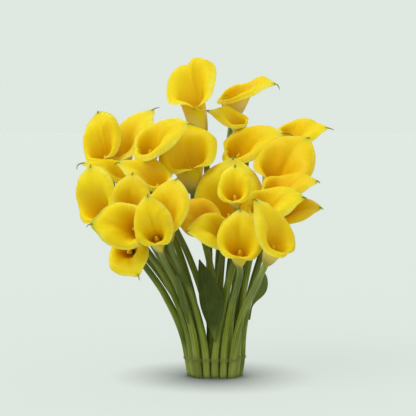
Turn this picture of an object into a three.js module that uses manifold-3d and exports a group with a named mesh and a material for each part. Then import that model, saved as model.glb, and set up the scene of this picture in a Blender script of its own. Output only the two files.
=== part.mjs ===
// A bouquet of yellow calla lilies, standing on its level-cut stems.
// Millimetres, +Z up, the front of the bouquet looks along -Y. The origin is the middle of the cut end
// of the stem in the centre of the bundle. Each flower is a bloom, the wrapped yellow spathe with its
// spadix and green tail, on a round stem. A few leaf blades stand among the stems.

import * as THREE from 'three';
import Module from 'manifold-3d';

const wasm = await Module();
wasm.setup();

// The spathe of a bloom of size 1
const SPATHE_RISE = 80;          // stem joint to the back of the rim, along the bloom's axis
const FRONT_RISE = 0.46;         // height of the front of the rim, as a share of the rise
const MOUTH_WIDTH = 76;          // across the mouth, side to side
const BACK_REACH = 40;           // from the axis to the back of the rim
const FRONT_REACH = 28;          // from the axis to the front of the rim
const POINT_LENGTH = 8;          // how far the apex is drawn out to a point
const POINT_WIDTH = 0.26;        // half angle of the drawn-out point, radians
const NOTCH_WIDTH = 0.22;        // half angle of the notch between the lobes of a parted apex, radians
const THROAT_RADIUS = 4.2;       // of the tube where it leaves the stem
const SPATHE_THICKNESS = 0.9;
const OVERLAP = 0.5;             // how far each margin wraps past the front, radians
const OVERLAP_START = 2.5;       // angle where the margins begin to fall away from the rim
const MARGIN_FALL = 0.42;        // share of the spathe's length that the margins lose at their ends
const WRAP_OFFSET = 0.85;        // half the distance between the two layers where they overlap
const RIM_WAVE = 2.0;            // height of the slow waves along the rim
const RIM_WAVES = 3;             // waves in one turn
const RIM_RISE_POWER = 1.4;      // how late the rim climbs on its way from the front to the back
const BACK_FLARE = 72;           // lean of the rim outward from the axis, degrees
const SIDE_FLARE = 126;
const FRONT_FLARE = 114;
const MOUTH_SHARE = 0.62;        // height of the middle of the mouth, as a share of the rise
const ROOT_HANDLE_RISE = 0.38;   // handles of the curve that each strip of the spathe follows
const ROOT_HANDLE_REACH = 0.36;
const RIM_HANDLE = 0.46;
const POINT_HANDLE = 0.3;
const SPATHE_COLUMNS = 12;
const SPATHE_ROWS = 4;
const APEX_CROWDING = 0.4;       // how much closer the columns stand at the apex than at the front

// The spadix and the green tail of the apex
const SPADIX_RADIUS = 3.9;
const SPADIX_LENGTH = 35;
const SPADIX_SIDES = 5;
const JOINT_RADIUS = 5.6;        // of the disc that seats the bloom on its stem
const JOINT_DEPTH = 1;           // of that disc below the root of the spathe
const JOINT_TOP = 1.4;           // of that disc above the root
const TAIL_LENGTH = 11;
const RIM_STEP = 0.07;           // share of the climb over which the heading of the apex is taken
const TAIL_ROOT_RADIUS = 1.1;
const TAIL_TIP_RADIUS = 0.45;
const TAIL_SINK = 3.5;           // how far the tail's root is sunk into the point of the spathe
const TAIL_BEND = 0.45;          // share of the tail's length that goes on straight before it hangs
const TAIL_SIDES = 4;
const TAIL_STEPS = 3;
const MELT = 0.05;               // edges shorter than this are closed up where solids are joined

// Stems
const FOOT_RADIUS = 6.2;
const NECK_RADIUS = 5.0;
const STEM_SIDES = 6;
const STEM_SPREAD = 1.9;         // stems leave the bundle as this power of the height
const NECK_LENGTH = 24;          // last stretch of a stem, in line with its bloom
const JOINT_GAP = 0.3;           // between touching solids
const FOOT_PITCH = 12.8;         // between neighbouring stems at the cut ends
const BUNDLE_ROWS = [5, 6, 7, 6, 3];  // stems in each row of the bundle, from front to back
const LEVEL_STEP = 30;           // between the heights at which neighbouring stems are kept apart
const STEM_CLEARANCE = 2.3;      // least distance between two stems above the cut ends
const SETTLE_ROUNDS = 400;
const BALL_PUSH = 0.5;           // share of a lack of room that one round mends
const STEM_PUSH = 0.35;
const FIRST_EVENING = 0.15;      // how strongly a stem's bends are evened out, early and late
const LAST_EVENING = 0.005;
// What stems keep clear of at each bloom: height along its axis and radius of a ball there
const KEEP_OUTS = [[-25, 6], [-17, 6], [-9, 6], [-1, 7], [8, 10], [18, 15], [28, 20], [40, 25], [52, 30]];

// mouth: middle of the mouth, aim: along the axis out of the mouth, apex: side on which the apex lies.
// Where a flower departs from the common form:
// tail is the way that its tail hangs, and tailLength is a factor on the tail.
// long, wide, reach, girth, wave and point are factors on the rise, the width, the back reach, how full
// the tube is, the rim's waves and the drawn-out point.
// curl is degrees added to the lean of the back of the rim, and roll to that of its sides and front.
// tilt is how much one side of the rim stands above its middle, as a share of the rise.
// notch is the depth of the notch in a parted apex, and crown takes the place of RIM_RISE_POWER.
const FLOWERS = [
  {
    id: '01', mouth: [-184, 49, 371], aim: [-0.2, -0.42, 0.85], apex: [-0.1, 0.5, 0.8],
    size: 1.3, wide: 0.74, tilt: -0.1, roll: 14, point: 0.3,
  },
  {
    id: '02', mouth: [-152, 75, 374], aim: [-0.05, -0.35, 1], apex: [0.7, 0.4, 0.3],
    size: 1.32, tail: [1, 0, 0.1],
  },
  {
    id: '03', mouth: [-102, 10, 377], aim: [0.1, -0.6, 0.75], apex: [1, 0, 0.1],
    size: 1.2, roll: 10, tail: [0.5, -0.3, -0.8],
  },
  {
    id: '04', mouth: [-42, 23, 354], aim: [-0.1, -0.22, 0.95], apex: [-0.2, 0.9, 0.3],
    size: 1.3, tilt: -0.08, roll: 8, point: 0.4, girth: 1.4,
  },
  {
    id: '05', mouth: [-97, -25, 323], aim: [-0.3, -0.45, 0.85], apex: [-0.9, 0.2, 0],
    size: 1.05, roll: 15,
  },
  {
    id: '06', mouth: [-152, 6, 328], aim: [-0.35, -0.3, 0.9], apex: [-1, 0, -0.1],
    size: 1.08, tailLength: 1.8, roll: 10,
  },
  {
    id: '07', mouth: [-188, -31, 279], aim: [-0.5, -0.5, 0.6], apex: [0.1, 0.5, 0.9],
    size: 1.25, wide: 0.92, point: 0.2, roll: 12,
  },
  {
    id: '08', mouth: [-132, -112, 250], aim: [-0.4, -0.85, 0.3], apex: [-0.9, 0.3, -0.1],
    size: 1.01,
  },
  {
    id: '09', mouth: [-93, -128, 245], aim: [-0.15, -0.75, 0.6], apex: [-0.1, 0.6, 0.85],
    size: 1.18, wide: 0.7, point: 0.6,
  },
  {
    id: '10', mouth: [-137, -74, 207], aim: [-0.1, -0.97, 0.1], apex: [0.5, -0.1, -0.8],
    size: 0.92, tailLength: 0.6,
  },
  {
    id: '11', mouth: [-79, -99, 268], aim: [-0.17, -0.52, 0.85], apex: [0.4, 0.4, 0.7],
    size: 1.09, point: 0.3,
  },
  {
    id: '12', mouth: [-132, -66, 284], aim: [-0.1, -0.6, 0.8], apex: [0.1, 0.5, 0.7],
    size: 0.86, point: 0.4,
  },
  {
    id: '13', mouth: [-36, 76, 457], aim: [-0.2, -0.02, 1], apex: [0, 1, 0.1],
    size: 1.2, long: 1.45, reach: 0.75, curl: 25, wave: 2.5, point: 0, tilt: -0.08, notch: 6, crown: 0.9,
    tailLength: 0.5, girth: 1.6,
  },
  {
    id: '14', mouth: [36, 154, 458], aim: [0.12, -0.35, 0.9], apex: [1, -0.35, 0],
    size: 1.15, roll: 20, tailLength: 1.4, tilt: 0.06, girth: 1.5, long: 0.9, reach: 1.25, curl: 20,
  },
  {
    id: '15', mouth: [34, 103, 413], aim: [-0.3, -0.4, 0.85], apex: [-0.8, -0.2, 0.5],
    size: 0.85, roll: 15,
  },
  {
    id: '16', mouth: [44, 55, 369], aim: [0.22, -0.6, 0.75], apex: [1, 0, 0],
    size: 1.25, roll: 10, tailLength: 3, girth: 1.15, tail: [0.5, 0, -0.85],
  },
  {
    id: '17', mouth: [128, 66, 390], aim: [0.45, -0.4, 0.85], apex: [1, 0, 0],
    size: 1, roll: 15, tilt: 0.08, tail: [0.8, 0, -0.5],
  },
  {
    id: '18', mouth: [104, -4, 335], aim: [0.3, -0.45, 0.8], apex: [0.6, 0.5, 0.5],
    size: 1.32, roll: 10, point: 0.5,
  },
  {
    id: '19', mouth: [20, -4, 275], aim: [-0.1, -0.62, 0.72], apex: [0.1, 0.2, 1],
    size: 1.29, wide: 1.2, roll: 10, tailLength: 2.2, point: 0.6,
  },
  {
    id: '20', mouth: [75, -105, 283], aim: [0.38, -0.6, 0.75], apex: [1, 0, 0],
    size: 1.06, roll: 10,
  },
  {
    id: '21', mouth: [28, -122, 305], aim: [-0.12, -0.6, 0.75], apex: [0.1, 0.5, 0.8],
    size: 0.73, point: 0.3,
  },
  {
    id: '22', mouth: [-20, -52, 256], aim: [-0.45, -0.5, 0.65], apex: [-0.7, 0.3, 0.4],
    size: 0.9, point: 0.3,
  },
  {
    id: '23', mouth: [9, -90, 241], aim: [-0.24, -0.68, 0.55], apex: [-0.85, 0.1, -0.45],
    size: 0.99, tailLength: 0.4,
  },
  {
    id: '24', mouth: [37, -142, 226], aim: [0, -0.6, 0.75], apex: [0, 0.4, 0.9],
    size: 0.95, roll: 5, point: 0.6,
  },
  {
    id: '25', mouth: [92, -173, 238], aim: [0.32, -0.45, 0.8], apex: [-0.7, 0.2, 0.6],
    size: 1.05, wide: 1.12,
  },
  {
    id: '26', mouth: [100, -53, 308], aim: [0.4, -0.45, 0.8], apex: [1, -0.1, 0],
    size: 1.06, roll: 10, tailLength: 0.5,
  },
  {
    id: '27', mouth: [109, -29, 268], aim: [0.35, -0.5, 0.7], apex: [0.9, 0, -0.3],
    size: 1.04, tailLength: 0.4,
  },
];

// Leaves: the stem that each springs from, the level of its root, the side of the stem, the point the
// blade bends over, the tip, the widest width, and how early the blade narrows to its tip
const LEAVES = [
  {
    id: '1', stem: '21', level: 2, side: [-0.5, -0.866],
    middle: [-12, -52, 112], tip: [-25, -50, 192], width: 50, taper: 0.9,
  },
  {
    id: '2', stem: '27', level: 3, side: [1, 0],
    middle: [76, 2, 128], tip: [79, 4, 165], width: 21, taper: 0.5,
  },
  {
    id: '3', stem: '09', level: 3, side: [-0.5, -0.866],
    middle: [-50, -56, 130], tip: [-60, -69, 172], width: 12, taper: 0.8,
  },
];
const LEAF_THICKNESS = 0.9;
const LEAF_ROOT_WIDTH = 5;
const LEAF_SEAT_GAP = 0.5;       // between a leaf's root and a level stem, less as the stem leans
const LEAF_GUTTER = 0.25;        // depth of the fold along the midrib, as a share of the half width
const LEAF_SWELL = [0.05, 0.5];  // stretch of the length over which a leaf widens
const LEAF_TIP = 0.03;           // keeps the tip from closing to nothing
const LEAF_COLUMNS = 4;
const LEAF_ROWS = 8;

// The twine that holds the bundle: two turns, one level up
const TIE_RADIUS = 0.7;
const TIE_TURNS = 2;
const TIE_START = Math.PI / 2;   // the ends lie at the back
const TIE_STEPS = 18;            // for each turn
const TIE_PITCH = 2.4;           // rise of each turn
const TIE_SIDES = 4;
const TIE_GAP = 1.2;
const TIE_LEVEL = 1;

const YELLOW = 0xe6c31a;
const GREEN = 0x5a7326;
const LEAF_GREEN = 0x2f4a1e;
const TWINE_GREEN = 0x6f7f3c;

function smoothstep(low, high, value) {
  const share = Math.min(Math.max((value - low) / (high - low), 0), 1);
  return share * share * (3 - 2 * share);
}

function vector([x, y, z]) {
  return new THREE.Vector3(x, y, z);
}

// Local frame of a bloom: z along its axis, x towards the apex, origin at the stem joint
function bloomFrame(flower) {
  const axis = vector(flower.aim).normalize();
  const apex = vector(flower.apex);
  apex.addScaledVector(axis, -apex.dot(axis)).normalize();
  const side = new THREE.Vector3().crossVectors(axis, apex);
  const depth = MOUTH_SHARE * SPATHE_RISE * flower.size * (flower.long ?? 1);
  const base = vector(flower.mouth).addScaledVector(axis, -depth);
  return new THREE.Matrix4().makeBasis(apex, side, axis).setPosition(base);
}

// A point of the spathe's middle surface. turn is the angle round the axis, 0 at the apex,
// climb runs from 0 at the stem joint to 1 at the margin.
function spathePoint(flower, turn, climb) {
  const size = flower.size;
  const rise = SPATHE_RISE * size * (flower.long ?? 1);
  const wide = size * (flower.wide ?? 1);
  const backReach = BACK_REACH * (flower.reach ?? 1);
  const cosine = Math.cos(turn);
  const sine = Math.sin(turn);
  const back = 0.5 + 0.5 * cosine;
  const backShare = Math.max(cosine, 0) ** 2;
  const frontShare = Math.max(-cosine, 0) ** 2;
  const backFlare = BACK_FLARE + (flower.curl ?? 0);
  const sideFlare = SIDE_FLARE + (flower.roll ?? 0);
  const frontFlare = FRONT_FLARE + (flower.roll ?? 0);
  const flare = THREE.MathUtils.degToRad(
    backFlare * backShare + sideFlare * sine * sine + frontFlare * frontShare);
  const wave = RIM_WAVE * (flower.wave ?? 1) * size * Math.sin(RIM_WAVES * turn) * (1 - backShare);
  const crown = back ** (flower.crown ?? RIM_RISE_POWER);
  const rim = new THREE.Vector3(
    wide * ((backReach - FRONT_REACH) / 2 + (backReach + FRONT_REACH) / 2 * cosine),
    wide * MOUTH_WIDTH / 2 * sine,
    rise * (FRONT_RISE + (1 - FRONT_RISE) * crown + (flower.tilt ?? 0) * sine) + wave);
  rim.z -= (flower.notch ?? 0) * Math.exp(-((turn / NOTCH_WIDTH) ** 2));
  const outward = new THREE.Vector3(cosine, sine, 0);
  const lean = outward.clone().multiplyScalar(Math.sin(flare));
  lean.z = Math.cos(flare);
  const root = outward.clone().multiplyScalar(THROAT_RADIUS);
  const span = rim.distanceTo(root);
  const rootReach = THROAT_RADIUS + ROOT_HANDLE_REACH * (flower.girth ?? 1) * Math.hypot(rim.x, rim.y);
  const rootHandle = outward.clone().multiplyScalar(rootReach);
  rootHandle.z = ROOT_HANDLE_RISE * rim.z;
  const rimHandle = rim.clone().addScaledVector(lean, -RIM_HANDLE * span);
  const point = POINT_LENGTH * (flower.point ?? 1) * size * Math.exp(-((turn / POINT_WIDTH) ** 2));
  rim.addScaledVector(lean, point);
  rimHandle.addScaledVector(lean, POINT_HANDLE * point);
  const fall = MARGIN_FALL * smoothstep(OVERLAP_START, Math.PI + OVERLAP, Math.abs(turn));
  return new THREE.CubicBezierCurve3(root, rootHandle, rimHandle, rim).getPoint(climb * (1 - fall));
}

// Corner points of a thin sheet: the middle surface moved along its normal by the given offset
function offsetPoint(surface, u, v, offset) {
  const step = 1e-3;
  const here = surface(u, v);
  const across = surface(u + step, v).sub(surface(u - step, v));
  const along = v > 0.5 ? here.clone().sub(surface(u, v - step)) : surface(u, v + step).sub(here);
  return here.addScaledVector(across.cross(along).normalize(), offset);
}

// A closed thin solid round a surface given over the unit square. Both faces are split alike.
function sheetSolid(surface, columns, rows, thickness, shift = () => 0) {
  const corners = [];
  const faces = [];
  const index = (layer, i, j) => (layer * (columns + 1) + i) * (rows + 1) + j;
  for (const layer of [0, 1]) {
    for (let i = 0; i <= columns; i++) {
      for (let j = 0; j <= rows; j++) {
        const u = i / columns;
        const offset = shift(u) + (layer === 0 ? 0.5 : -0.5) * thickness;
        corners.push(...offsetPoint(surface, u, j / rows, offset).toArray());
      }
    }
  }
  const quad = (a, b, c, d) => faces.push(a, b, c, a, c, d);
  for (let i = 0; i < columns; i++) {
    for (let j = 0; j < rows; j++) {
      quad(index(0, i, j), index(0, i + 1, j), index(0, i + 1, j + 1), index(0, i, j + 1));
      faces.push(index(1, i, j), index(1, i + 1, j + 1), index(1, i + 1, j));
      faces.push(index(1, i, j), index(1, i, j + 1), index(1, i + 1, j + 1));
    }
    quad(index(1, i, 0), index(1, i + 1, 0), index(0, i + 1, 0), index(0, i, 0));
    quad(index(0, i, rows), index(0, i + 1, rows), index(1, i + 1, rows), index(1, i, rows));
  }
  for (let j = 0; j < rows; j++) {
    quad(index(0, 0, j), index(0, 0, j + 1), index(1, 0, j + 1), index(1, 0, j));
    quad(index(1, columns, j), index(1, columns, j + 1), index(0, columns, j + 1), index(0, columns, j));
  }
  return toSolid(corners, faces);
}

function toSolid(corners, faces) {
  return new wasm.Manifold(new wasm.Mesh({
    numProp: 3,
    vertProperties: new Float32Array(corners),
    triVerts: new Uint32Array(faces),
  }));
}

// A closed solid through rings of corners, all with the same number of corners
function ringSolid(rings) {
  const sides = rings[0].length;
  const faces = [];
  for (let i = 0; i < rings.length - 1; i++) {
    for (let k = 0; k < sides; k++) {
      const next = (k + 1) % sides;
      faces.push(i * sides + k, i * sides + next, (i + 1) * sides + next);
      faces.push(i * sides + k, (i + 1) * sides + next, (i + 1) * sides + k);
    }
  }
  const last = (rings.length - 1) * sides;
  for (let k = 1; k < sides - 1; k++) {
    faces.push(0, k + 1, k);
    faces.push(last, last + k, last + k + 1);
  }
  return toSolid(rings.flat().flatMap((corner) => corner.toArray()), faces);
}

// A ring of corners round a centre. One pair of its flats faces the given direction, and radius is
// the distance from the centre to the flats.
function flatRing(centre, tangent, facing, radius, sides) {
  const normal = facing.clone().addScaledVector(tangent, -facing.dot(tangent)).normalize();
  const binormal = new THREE.Vector3().crossVectors(tangent, normal);
  const cornerRadius = radius / Math.cos(Math.PI / sides);
  return Array.from({ length: sides }, (_, k) => {
    const angle = 2 * Math.PI * (k + 0.5) / sides;
    return centre.clone()
      .addScaledVector(normal, cornerRadius * Math.cos(angle))
      .addScaledVector(binormal, cornerRadius * Math.sin(angle));
  });
}

// A closed rod along a curve, its radius given over the length
function rodSolid(curve, radiusAt, sides, steps, facing) {
  const rings = Array.from({ length: steps + 1 }, (_, i) => {
    const share = i / steps;
    return flatRing(curve.getPointAt(share), curve.getTangentAt(share), facing, radiusAt(share), sides);
  });
  return ringSolid(rings);
}

function toGeometry(solid) {
  const { vertProperties, triVerts, numProp } = solid.getMesh();
  const corners = new Float32Array(vertProperties.length / numProp * 3);
  for (let i = 0; i < corners.length / 3; i++) {
    corners.set(vertProperties.subarray(i * numProp, i * numProp + 3), i * 3);
  }
  const geometry = new THREE.BufferGeometry();
  geometry.setAttribute('position', new THREE.BufferAttribute(corners, 3));
  geometry.setIndex(new THREE.BufferAttribute(new Uint32Array(triVerts), 1));
  geometry.computeVertexNormals();
  return geometry;
}

// The seat of the spathe on the stem and the spadix that stands in the tube
function spadixSolid(flower) {
  const size = flower.size;
  const reach = SPADIX_LENGTH * size;
  const radius = SPADIX_RADIUS * Math.sqrt(size);
  const rings = [
    [JOINT_RADIUS, -JOINT_DEPTH],
    [JOINT_RADIUS, JOINT_TOP],
    [radius * 0.7, JOINT_TOP + 0.2],
    [radius, reach * 0.3],
    [radius * 0.95, reach * 0.8],
    [radius * 0.5, reach],
  ];
  const up = new THREE.Vector3(0, 0, 1);
  const facing = new THREE.Vector3(1, 0, 0);
  return ringSolid(rings.map(([ringRadius, z]) =>
    flatRing(new THREE.Vector3(0, 0, z), up, facing, ringRadius, SPADIX_SIDES)));
}

// The thin green tail that the apex ends in
function tailSolid(flower, frame) {
  const tip = spathePoint(flower, 0, 1);
  const before = spathePoint(flower, 0, 1 - RIM_STEP);
  const heading = tip.clone().sub(before).normalize();
  const length = TAIL_LENGTH * (flower.tailLength ?? 1);
  const droop = vector(flower.tail ?? [0, 0, -1]).normalize();
  droop.transformDirection(frame.clone().invert());
  const root = tip.clone().addScaledVector(heading, -TAIL_SINK);
  const bend = tip.clone().addScaledVector(heading, length * TAIL_BEND);
  const end = bend.clone().addScaledVector(droop, length * (1 - TAIL_BEND));
  const curve = new THREE.QuadraticBezierCurve3(root, bend, end);
  const radiusAt = (share) => TAIL_ROOT_RADIUS + (TAIL_TIP_RADIUS - TAIL_ROOT_RADIUS) * share;
  const facing = new THREE.Vector3(0, 1, 0);
  return rodSolid(curve, radiusAt, TAIL_SIDES, TAIL_STEPS, facing);
}

function bloom(flower) {
  const frame = bloomFrame(flower);
  const reach = Math.PI + OVERLAP;
  const turnAt = (u) => reach * ((1 - APEX_CROWDING) * (2 * u - 1) + APEX_CROWDING * (2 * u - 1) ** 3);
  const surface = (u, v) => spathePoint(flower, turnAt(u), v);
  const shift = (u) => WRAP_OFFSET * turnAt(u) / Math.PI;
  const spathe = sheetSolid(surface, SPATHE_COLUMNS, SPATHE_ROWS, SPATHE_THICKNESS, shift);
  const whole = spathe.add(spadixSolid(flower)).add(tailSolid(flower, frame)).simplify(MELT);
  const geometry = toGeometry(whole);
  geometry.applyMatrix4(frame);
  return makeMesh('bloom_' + flower.id, geometry, YELLOW, 0.45);
}

// Where a stem's last straight stretch begins
function neckPoint(flower) {
  const frame = bloomFrame(flower);
  const axis = new THREE.Vector3().setFromMatrixColumn(frame, 2);
  const neck = -JOINT_DEPTH - JOINT_GAP - NECK_LENGTH;
  return new THREE.Vector3().setFromMatrixPosition(frame).addScaledVector(axis, neck);
}

// The cut ends stand in a close pack. They are dealt out so that no stem has to cross another:
// the stems that lean most to the front fill the front row, and each row runs from left to right.
function dealFeet() {
  const leans = FLOWERS.map((flower) => {
    const neck = neckPoint(flower);
    const share = neck.z ** -STEM_SPREAD;
    return { id: flower.id, x: neck.x * share, y: neck.y * share };
  }).sort((a, b) => a.y - b.y);
  const feet = {};
  BUNDLE_ROWS.forEach((count, row) => {
    const members = leans.splice(0, count).sort((a, b) => a.x - b.x);
    members.forEach((member, column) => {
      feet[member.id] = new THREE.Vector3(
        (column - (count - 1) / 2) * FOOT_PITCH,
        (row - (BUNDLE_ROWS.length - 1) / 2) * FOOT_PITCH * Math.sqrt(3) / 2,
        0);
    });
  });
  return feet;
}

function stemRadius(share) {
  return FOOT_RADIUS + (NECK_RADIUS - FOOT_RADIUS) * share;
}

// The centre line of a stem before it meets its neighbours: from its cut end to its neck
function spreadStem(flower, foot) {
  const neck = neckPoint(flower);
  const top = Math.max(2, Math.round(neck.z / LEVEL_STEP - 0.4));
  const points = Array.from({ length: top + 1 }, (_, level) => {
    const height = level === top ? neck.z : level * LEVEL_STEP;
    return foot.clone().lerp(neck, (height / neck.z) ** STEM_SPREAD).setZ(height);
  });
  return { points, top };
}

// Balls along a bloom's axis that the other stems keep out of
function keepOutBalls(flower) {
  const frame = bloomFrame(flower);
  return KEEP_OUTS.map(([height, radius]) => {
    const scale = height > 0 ? flower.size : 1;
    return { centre: new THREE.Vector3(0, 0, height * scale).applyMatrix4(frame), radius: radius * scale };
  });
}

function pushFromBalls(path, balls) {
  for (const { centre, radius } of balls) {
    for (let level = 1; level < path.top; level++) {
      const away = path.points[level].clone().sub(centre);
      const lack = radius + stemRadius(level / path.top) + STEM_CLEARANCE - away.length();
      if (lack > 0) path.points[level].add(away.setZ(0).setLength(lack * BALL_PUSH));
    }
  }
}

// Two hexagonal stems are apart when their centres are, allowing for their corners and their slope
function pushApart(one, other) {
  for (let level = 1; level < Math.min(one.top, other.top); level++) {
    const away = one.points[level].clone().sub(other.points[level]);
    const distance = away.length();
    away.divideScalar(distance);
    const slope = one.points[level + 1].clone().sub(one.points[level - 1])
      .add(other.points[level + 1]).sub(other.points[level - 1]).divideScalar(4 * LEVEL_STEP);
    const tilt = Math.hypot(1, slope.x * away.x + slope.y * away.y);
    const bearing = Math.atan2(away.y, away.x) / (Math.PI / 3);
    const corner = Math.cos((bearing - Math.round(bearing)) * Math.PI / 3);
    const radii = stemRadius(level / one.top) + stemRadius(level / other.top);
    const lack = radii / corner * tilt + STEM_CLEARANCE - distance;
    if (lack > 0) {
      away.multiplyScalar(lack * STEM_PUSH);
      one.points[level].add(away);
      other.points[level].sub(away);
    }
  }
}

// Evens out a stem's shifts from its first course
function evenOut(path, course, share) {
  const shift = (level) => path.points[level].clone().sub(course.points[level]);
  for (let level = 1; level < path.top; level++) {
    const middle = shift(level - 1).add(shift(level + 1)).multiplyScalar(0.5);
    path.points[level].addScaledVector(middle.sub(shift(level)), share);
  }
}

// Points of every stem's centre line, all at the same heights, pushed clear of each other
function settleStems() {
  const feet = dealFeet();
  const courses = FLOWERS.map((flower) => spreadStem(flower, feet[flower.id]));
  const paths = FLOWERS.map((flower) => spreadStem(flower, feet[flower.id]));
  const balls = FLOWERS.map(keepOutBalls);
  for (let round = 0; round < SETTLE_ROUNDS; round++) {
    paths.forEach((path, i) => pushFromBalls(path, balls.filter((_, k) => k !== i).flat()));
    paths.forEach((path, i) => paths.slice(i + 1).forEach((other) => pushApart(path, other)));
    const share = round < SETTLE_ROUNDS / 2 ? FIRST_EVENING : LAST_EVENING;
    paths.forEach((path, i) => evenOut(path, courses[i], share));
    for (const path of paths) {
      for (let level = 1; level < path.top; level++) path.points[level].setZ(level * LEVEL_STEP);
    }
  }
  return Object.fromEntries(FLOWERS.map(({ id }, i) => [id, paths[i].points]));
}

function stem(flower) {
  const frame = bloomFrame(flower);
  const axis = new THREE.Vector3().setFromMatrixColumn(frame, 2);
  const seat = new THREE.Vector3().setFromMatrixPosition(frame)
    .addScaledVector(axis, -JOINT_DEPTH - JOINT_GAP);
  const points = [...STEM_PATHS[flower.id], seat];
  const facing = new THREE.Vector3(1, 0, 0);
  const rings = points.map((point, i) => {
    const tangent = i === 0
      ? new THREE.Vector3(0, 0, 1)
      : points[Math.min(i + 1, points.length - 1)].clone().sub(points[i - 1]).normalize();
    return flatRing(point, i === points.length - 1 ? axis : tangent, facing,
      stemRadius(i / (points.length - 1)), STEM_SIDES);
  });
  return makeMesh('stem_' + flower.id, toGeometry(ringSolid(rings)), GREEN, 0.6);
}

function leaf({ id, stem: stemId, level, side, middle, tip, width, taper }) {
  const outward = new THREE.Vector3(side[0], side[1], 0).normalize();
  const reach = stemRadius(level / STEM_PATHS[stemId].length) + LEAF_SEAT_GAP
    + (LEAF_ROOT_WIDTH * Math.abs(outward.x) + LEAF_THICKNESS * Math.abs(outward.y)) / 2;
  const root = STEM_PATHS[stemId][level].clone().addScaledVector(outward, reach);
  const curve = new THREE.QuadraticBezierCurve3(root, vector(middle), vector(tip));
  const facing = new THREE.Vector3(0, -1, 0);
  const surface = (u, v) => {
    const across = 2 * u - 1;
    const along = curve.getTangent(v);
    const sideways = new THREE.Vector3().crossVectors(along, facing).normalize();
    const normal = new THREE.Vector3().crossVectors(sideways, along);
    const narrowing = Math.max(1 - v ** 3, LEAF_TIP) ** taper;
    const blade = smoothstep(LEAF_SWELL[0], LEAF_SWELL[1], v) * narrowing;
    const half = 0.5 * (LEAF_ROOT_WIDTH * (1 - v) + width * blade);
    return curve.getPoint(v)
      .addScaledVector(sideways, across * half)
      .addScaledVector(normal, LEAF_GUTTER * half * across * across);
  };
  const solid = sheetSolid(surface, LEAF_COLUMNS, LEAF_ROWS, LEAF_THICKNESS);
  return makeMesh('leaf_' + id, toGeometry(solid), LEAF_GREEN, 0.5);
}

// The hull of all stem corners at the tie's level, reached in the given direction
function hullPoint(direction) {
  let best = null;
  for (const { id } of FLOWERS) {
    const centre = STEM_PATHS[id][TIE_LEVEL];
    const radius = FOOT_RADIUS / Math.cos(Math.PI / STEM_SIDES);
    for (let k = 0; k < STEM_SIDES; k++) {
      const angle = 2 * Math.PI * (k + 0.5) / STEM_SIDES;
      const corner = new THREE.Vector3(radius * Math.cos(angle), radius * Math.sin(angle), 0).add(centre);
      if (!best || corner.dot(direction) > best.dot(direction)) best = corner;
    }
  }
  return best;
}

function tie() {
  const points = [];
  const steps = TIE_TURNS * TIE_STEPS;
  for (let i = 0; i <= steps; i++) {
    const angle = TIE_START + 2 * Math.PI * i / TIE_STEPS;
    const direction = new THREE.Vector3(Math.cos(angle), Math.sin(angle), 0);
    const point = hullPoint(direction).addScaledVector(direction, TIE_GAP + TIE_RADIUS);
    point.z += (i / TIE_STEPS - TIE_TURNS / 2) * TIE_PITCH;
    points.push(point);
  }
  const up = new THREE.Vector3(0, 0, 1);
  const rings = points.map((point, i) => {
    const tangent = points[Math.min(i + 1, steps)].clone().sub(points[Math.max(i - 1, 0)]).normalize();
    return flatRing(point, tangent, up, TIE_RADIUS, TIE_SIDES);
  });
  const solid = ringSolid(rings);
  return makeMesh('twine_tie', toGeometry(solid), TWINE_GREEN, 0.9);
}

function makeMesh(name, geometry, color, roughness) {
  const mesh = new THREE.Mesh(geometry, new THREE.MeshStandardMaterial({ color, roughness, metalness: 0 }));
  mesh.name = name;
  return mesh;
}

const STEM_PATHS = settleStems();
const bouquet = new THREE.Group();
for (const flower of FLOWERS) {
  bouquet.add(bloom(flower));
  bouquet.add(stem(flower));
}

for (const blade of LEAVES) bouquet.add(leaf(blade));
bouquet.add(tie());

export default bouquet;
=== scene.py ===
"""Looks of a bouquet of yellow calla lilies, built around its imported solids.

Lengths are in millimetres until a mesh is made, because the flower table repeats the one that the
solids were made from. Every mesh is in metres, in the frame of the solids: +Z up, and the front looks
along -Y.
"""

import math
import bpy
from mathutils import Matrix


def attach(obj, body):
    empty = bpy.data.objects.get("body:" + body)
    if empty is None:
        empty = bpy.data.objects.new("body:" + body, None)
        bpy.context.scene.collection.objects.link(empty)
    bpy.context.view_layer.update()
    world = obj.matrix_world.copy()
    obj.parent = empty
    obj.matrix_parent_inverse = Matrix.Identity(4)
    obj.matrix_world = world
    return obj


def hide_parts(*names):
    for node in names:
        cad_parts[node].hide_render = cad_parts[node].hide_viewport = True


bl_info = {
    "name": "Calla lily bouquet",
    "version": (1, 0, 0),
    "blender": (4, 5, 0),
    "location": "View3D > Sidebar > Bouquet",
    "description": "Spathes, spadices, stems, leaves and twine of a calla lily bouquet",
    "category": "Object",
}

import bpy
import numpy as np
from mathutils import Vector

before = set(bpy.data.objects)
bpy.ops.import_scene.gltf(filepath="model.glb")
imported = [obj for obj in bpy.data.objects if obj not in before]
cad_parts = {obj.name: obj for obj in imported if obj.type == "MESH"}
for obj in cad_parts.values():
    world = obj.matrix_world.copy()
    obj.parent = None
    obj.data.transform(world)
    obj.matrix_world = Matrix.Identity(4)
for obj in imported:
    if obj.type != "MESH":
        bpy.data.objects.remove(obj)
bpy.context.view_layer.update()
MM = 0.001
BODY = "root"
FRONT = np.array([0.0, -1.0, 0.0])  # side of the bouquet that the photograph shows

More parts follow.
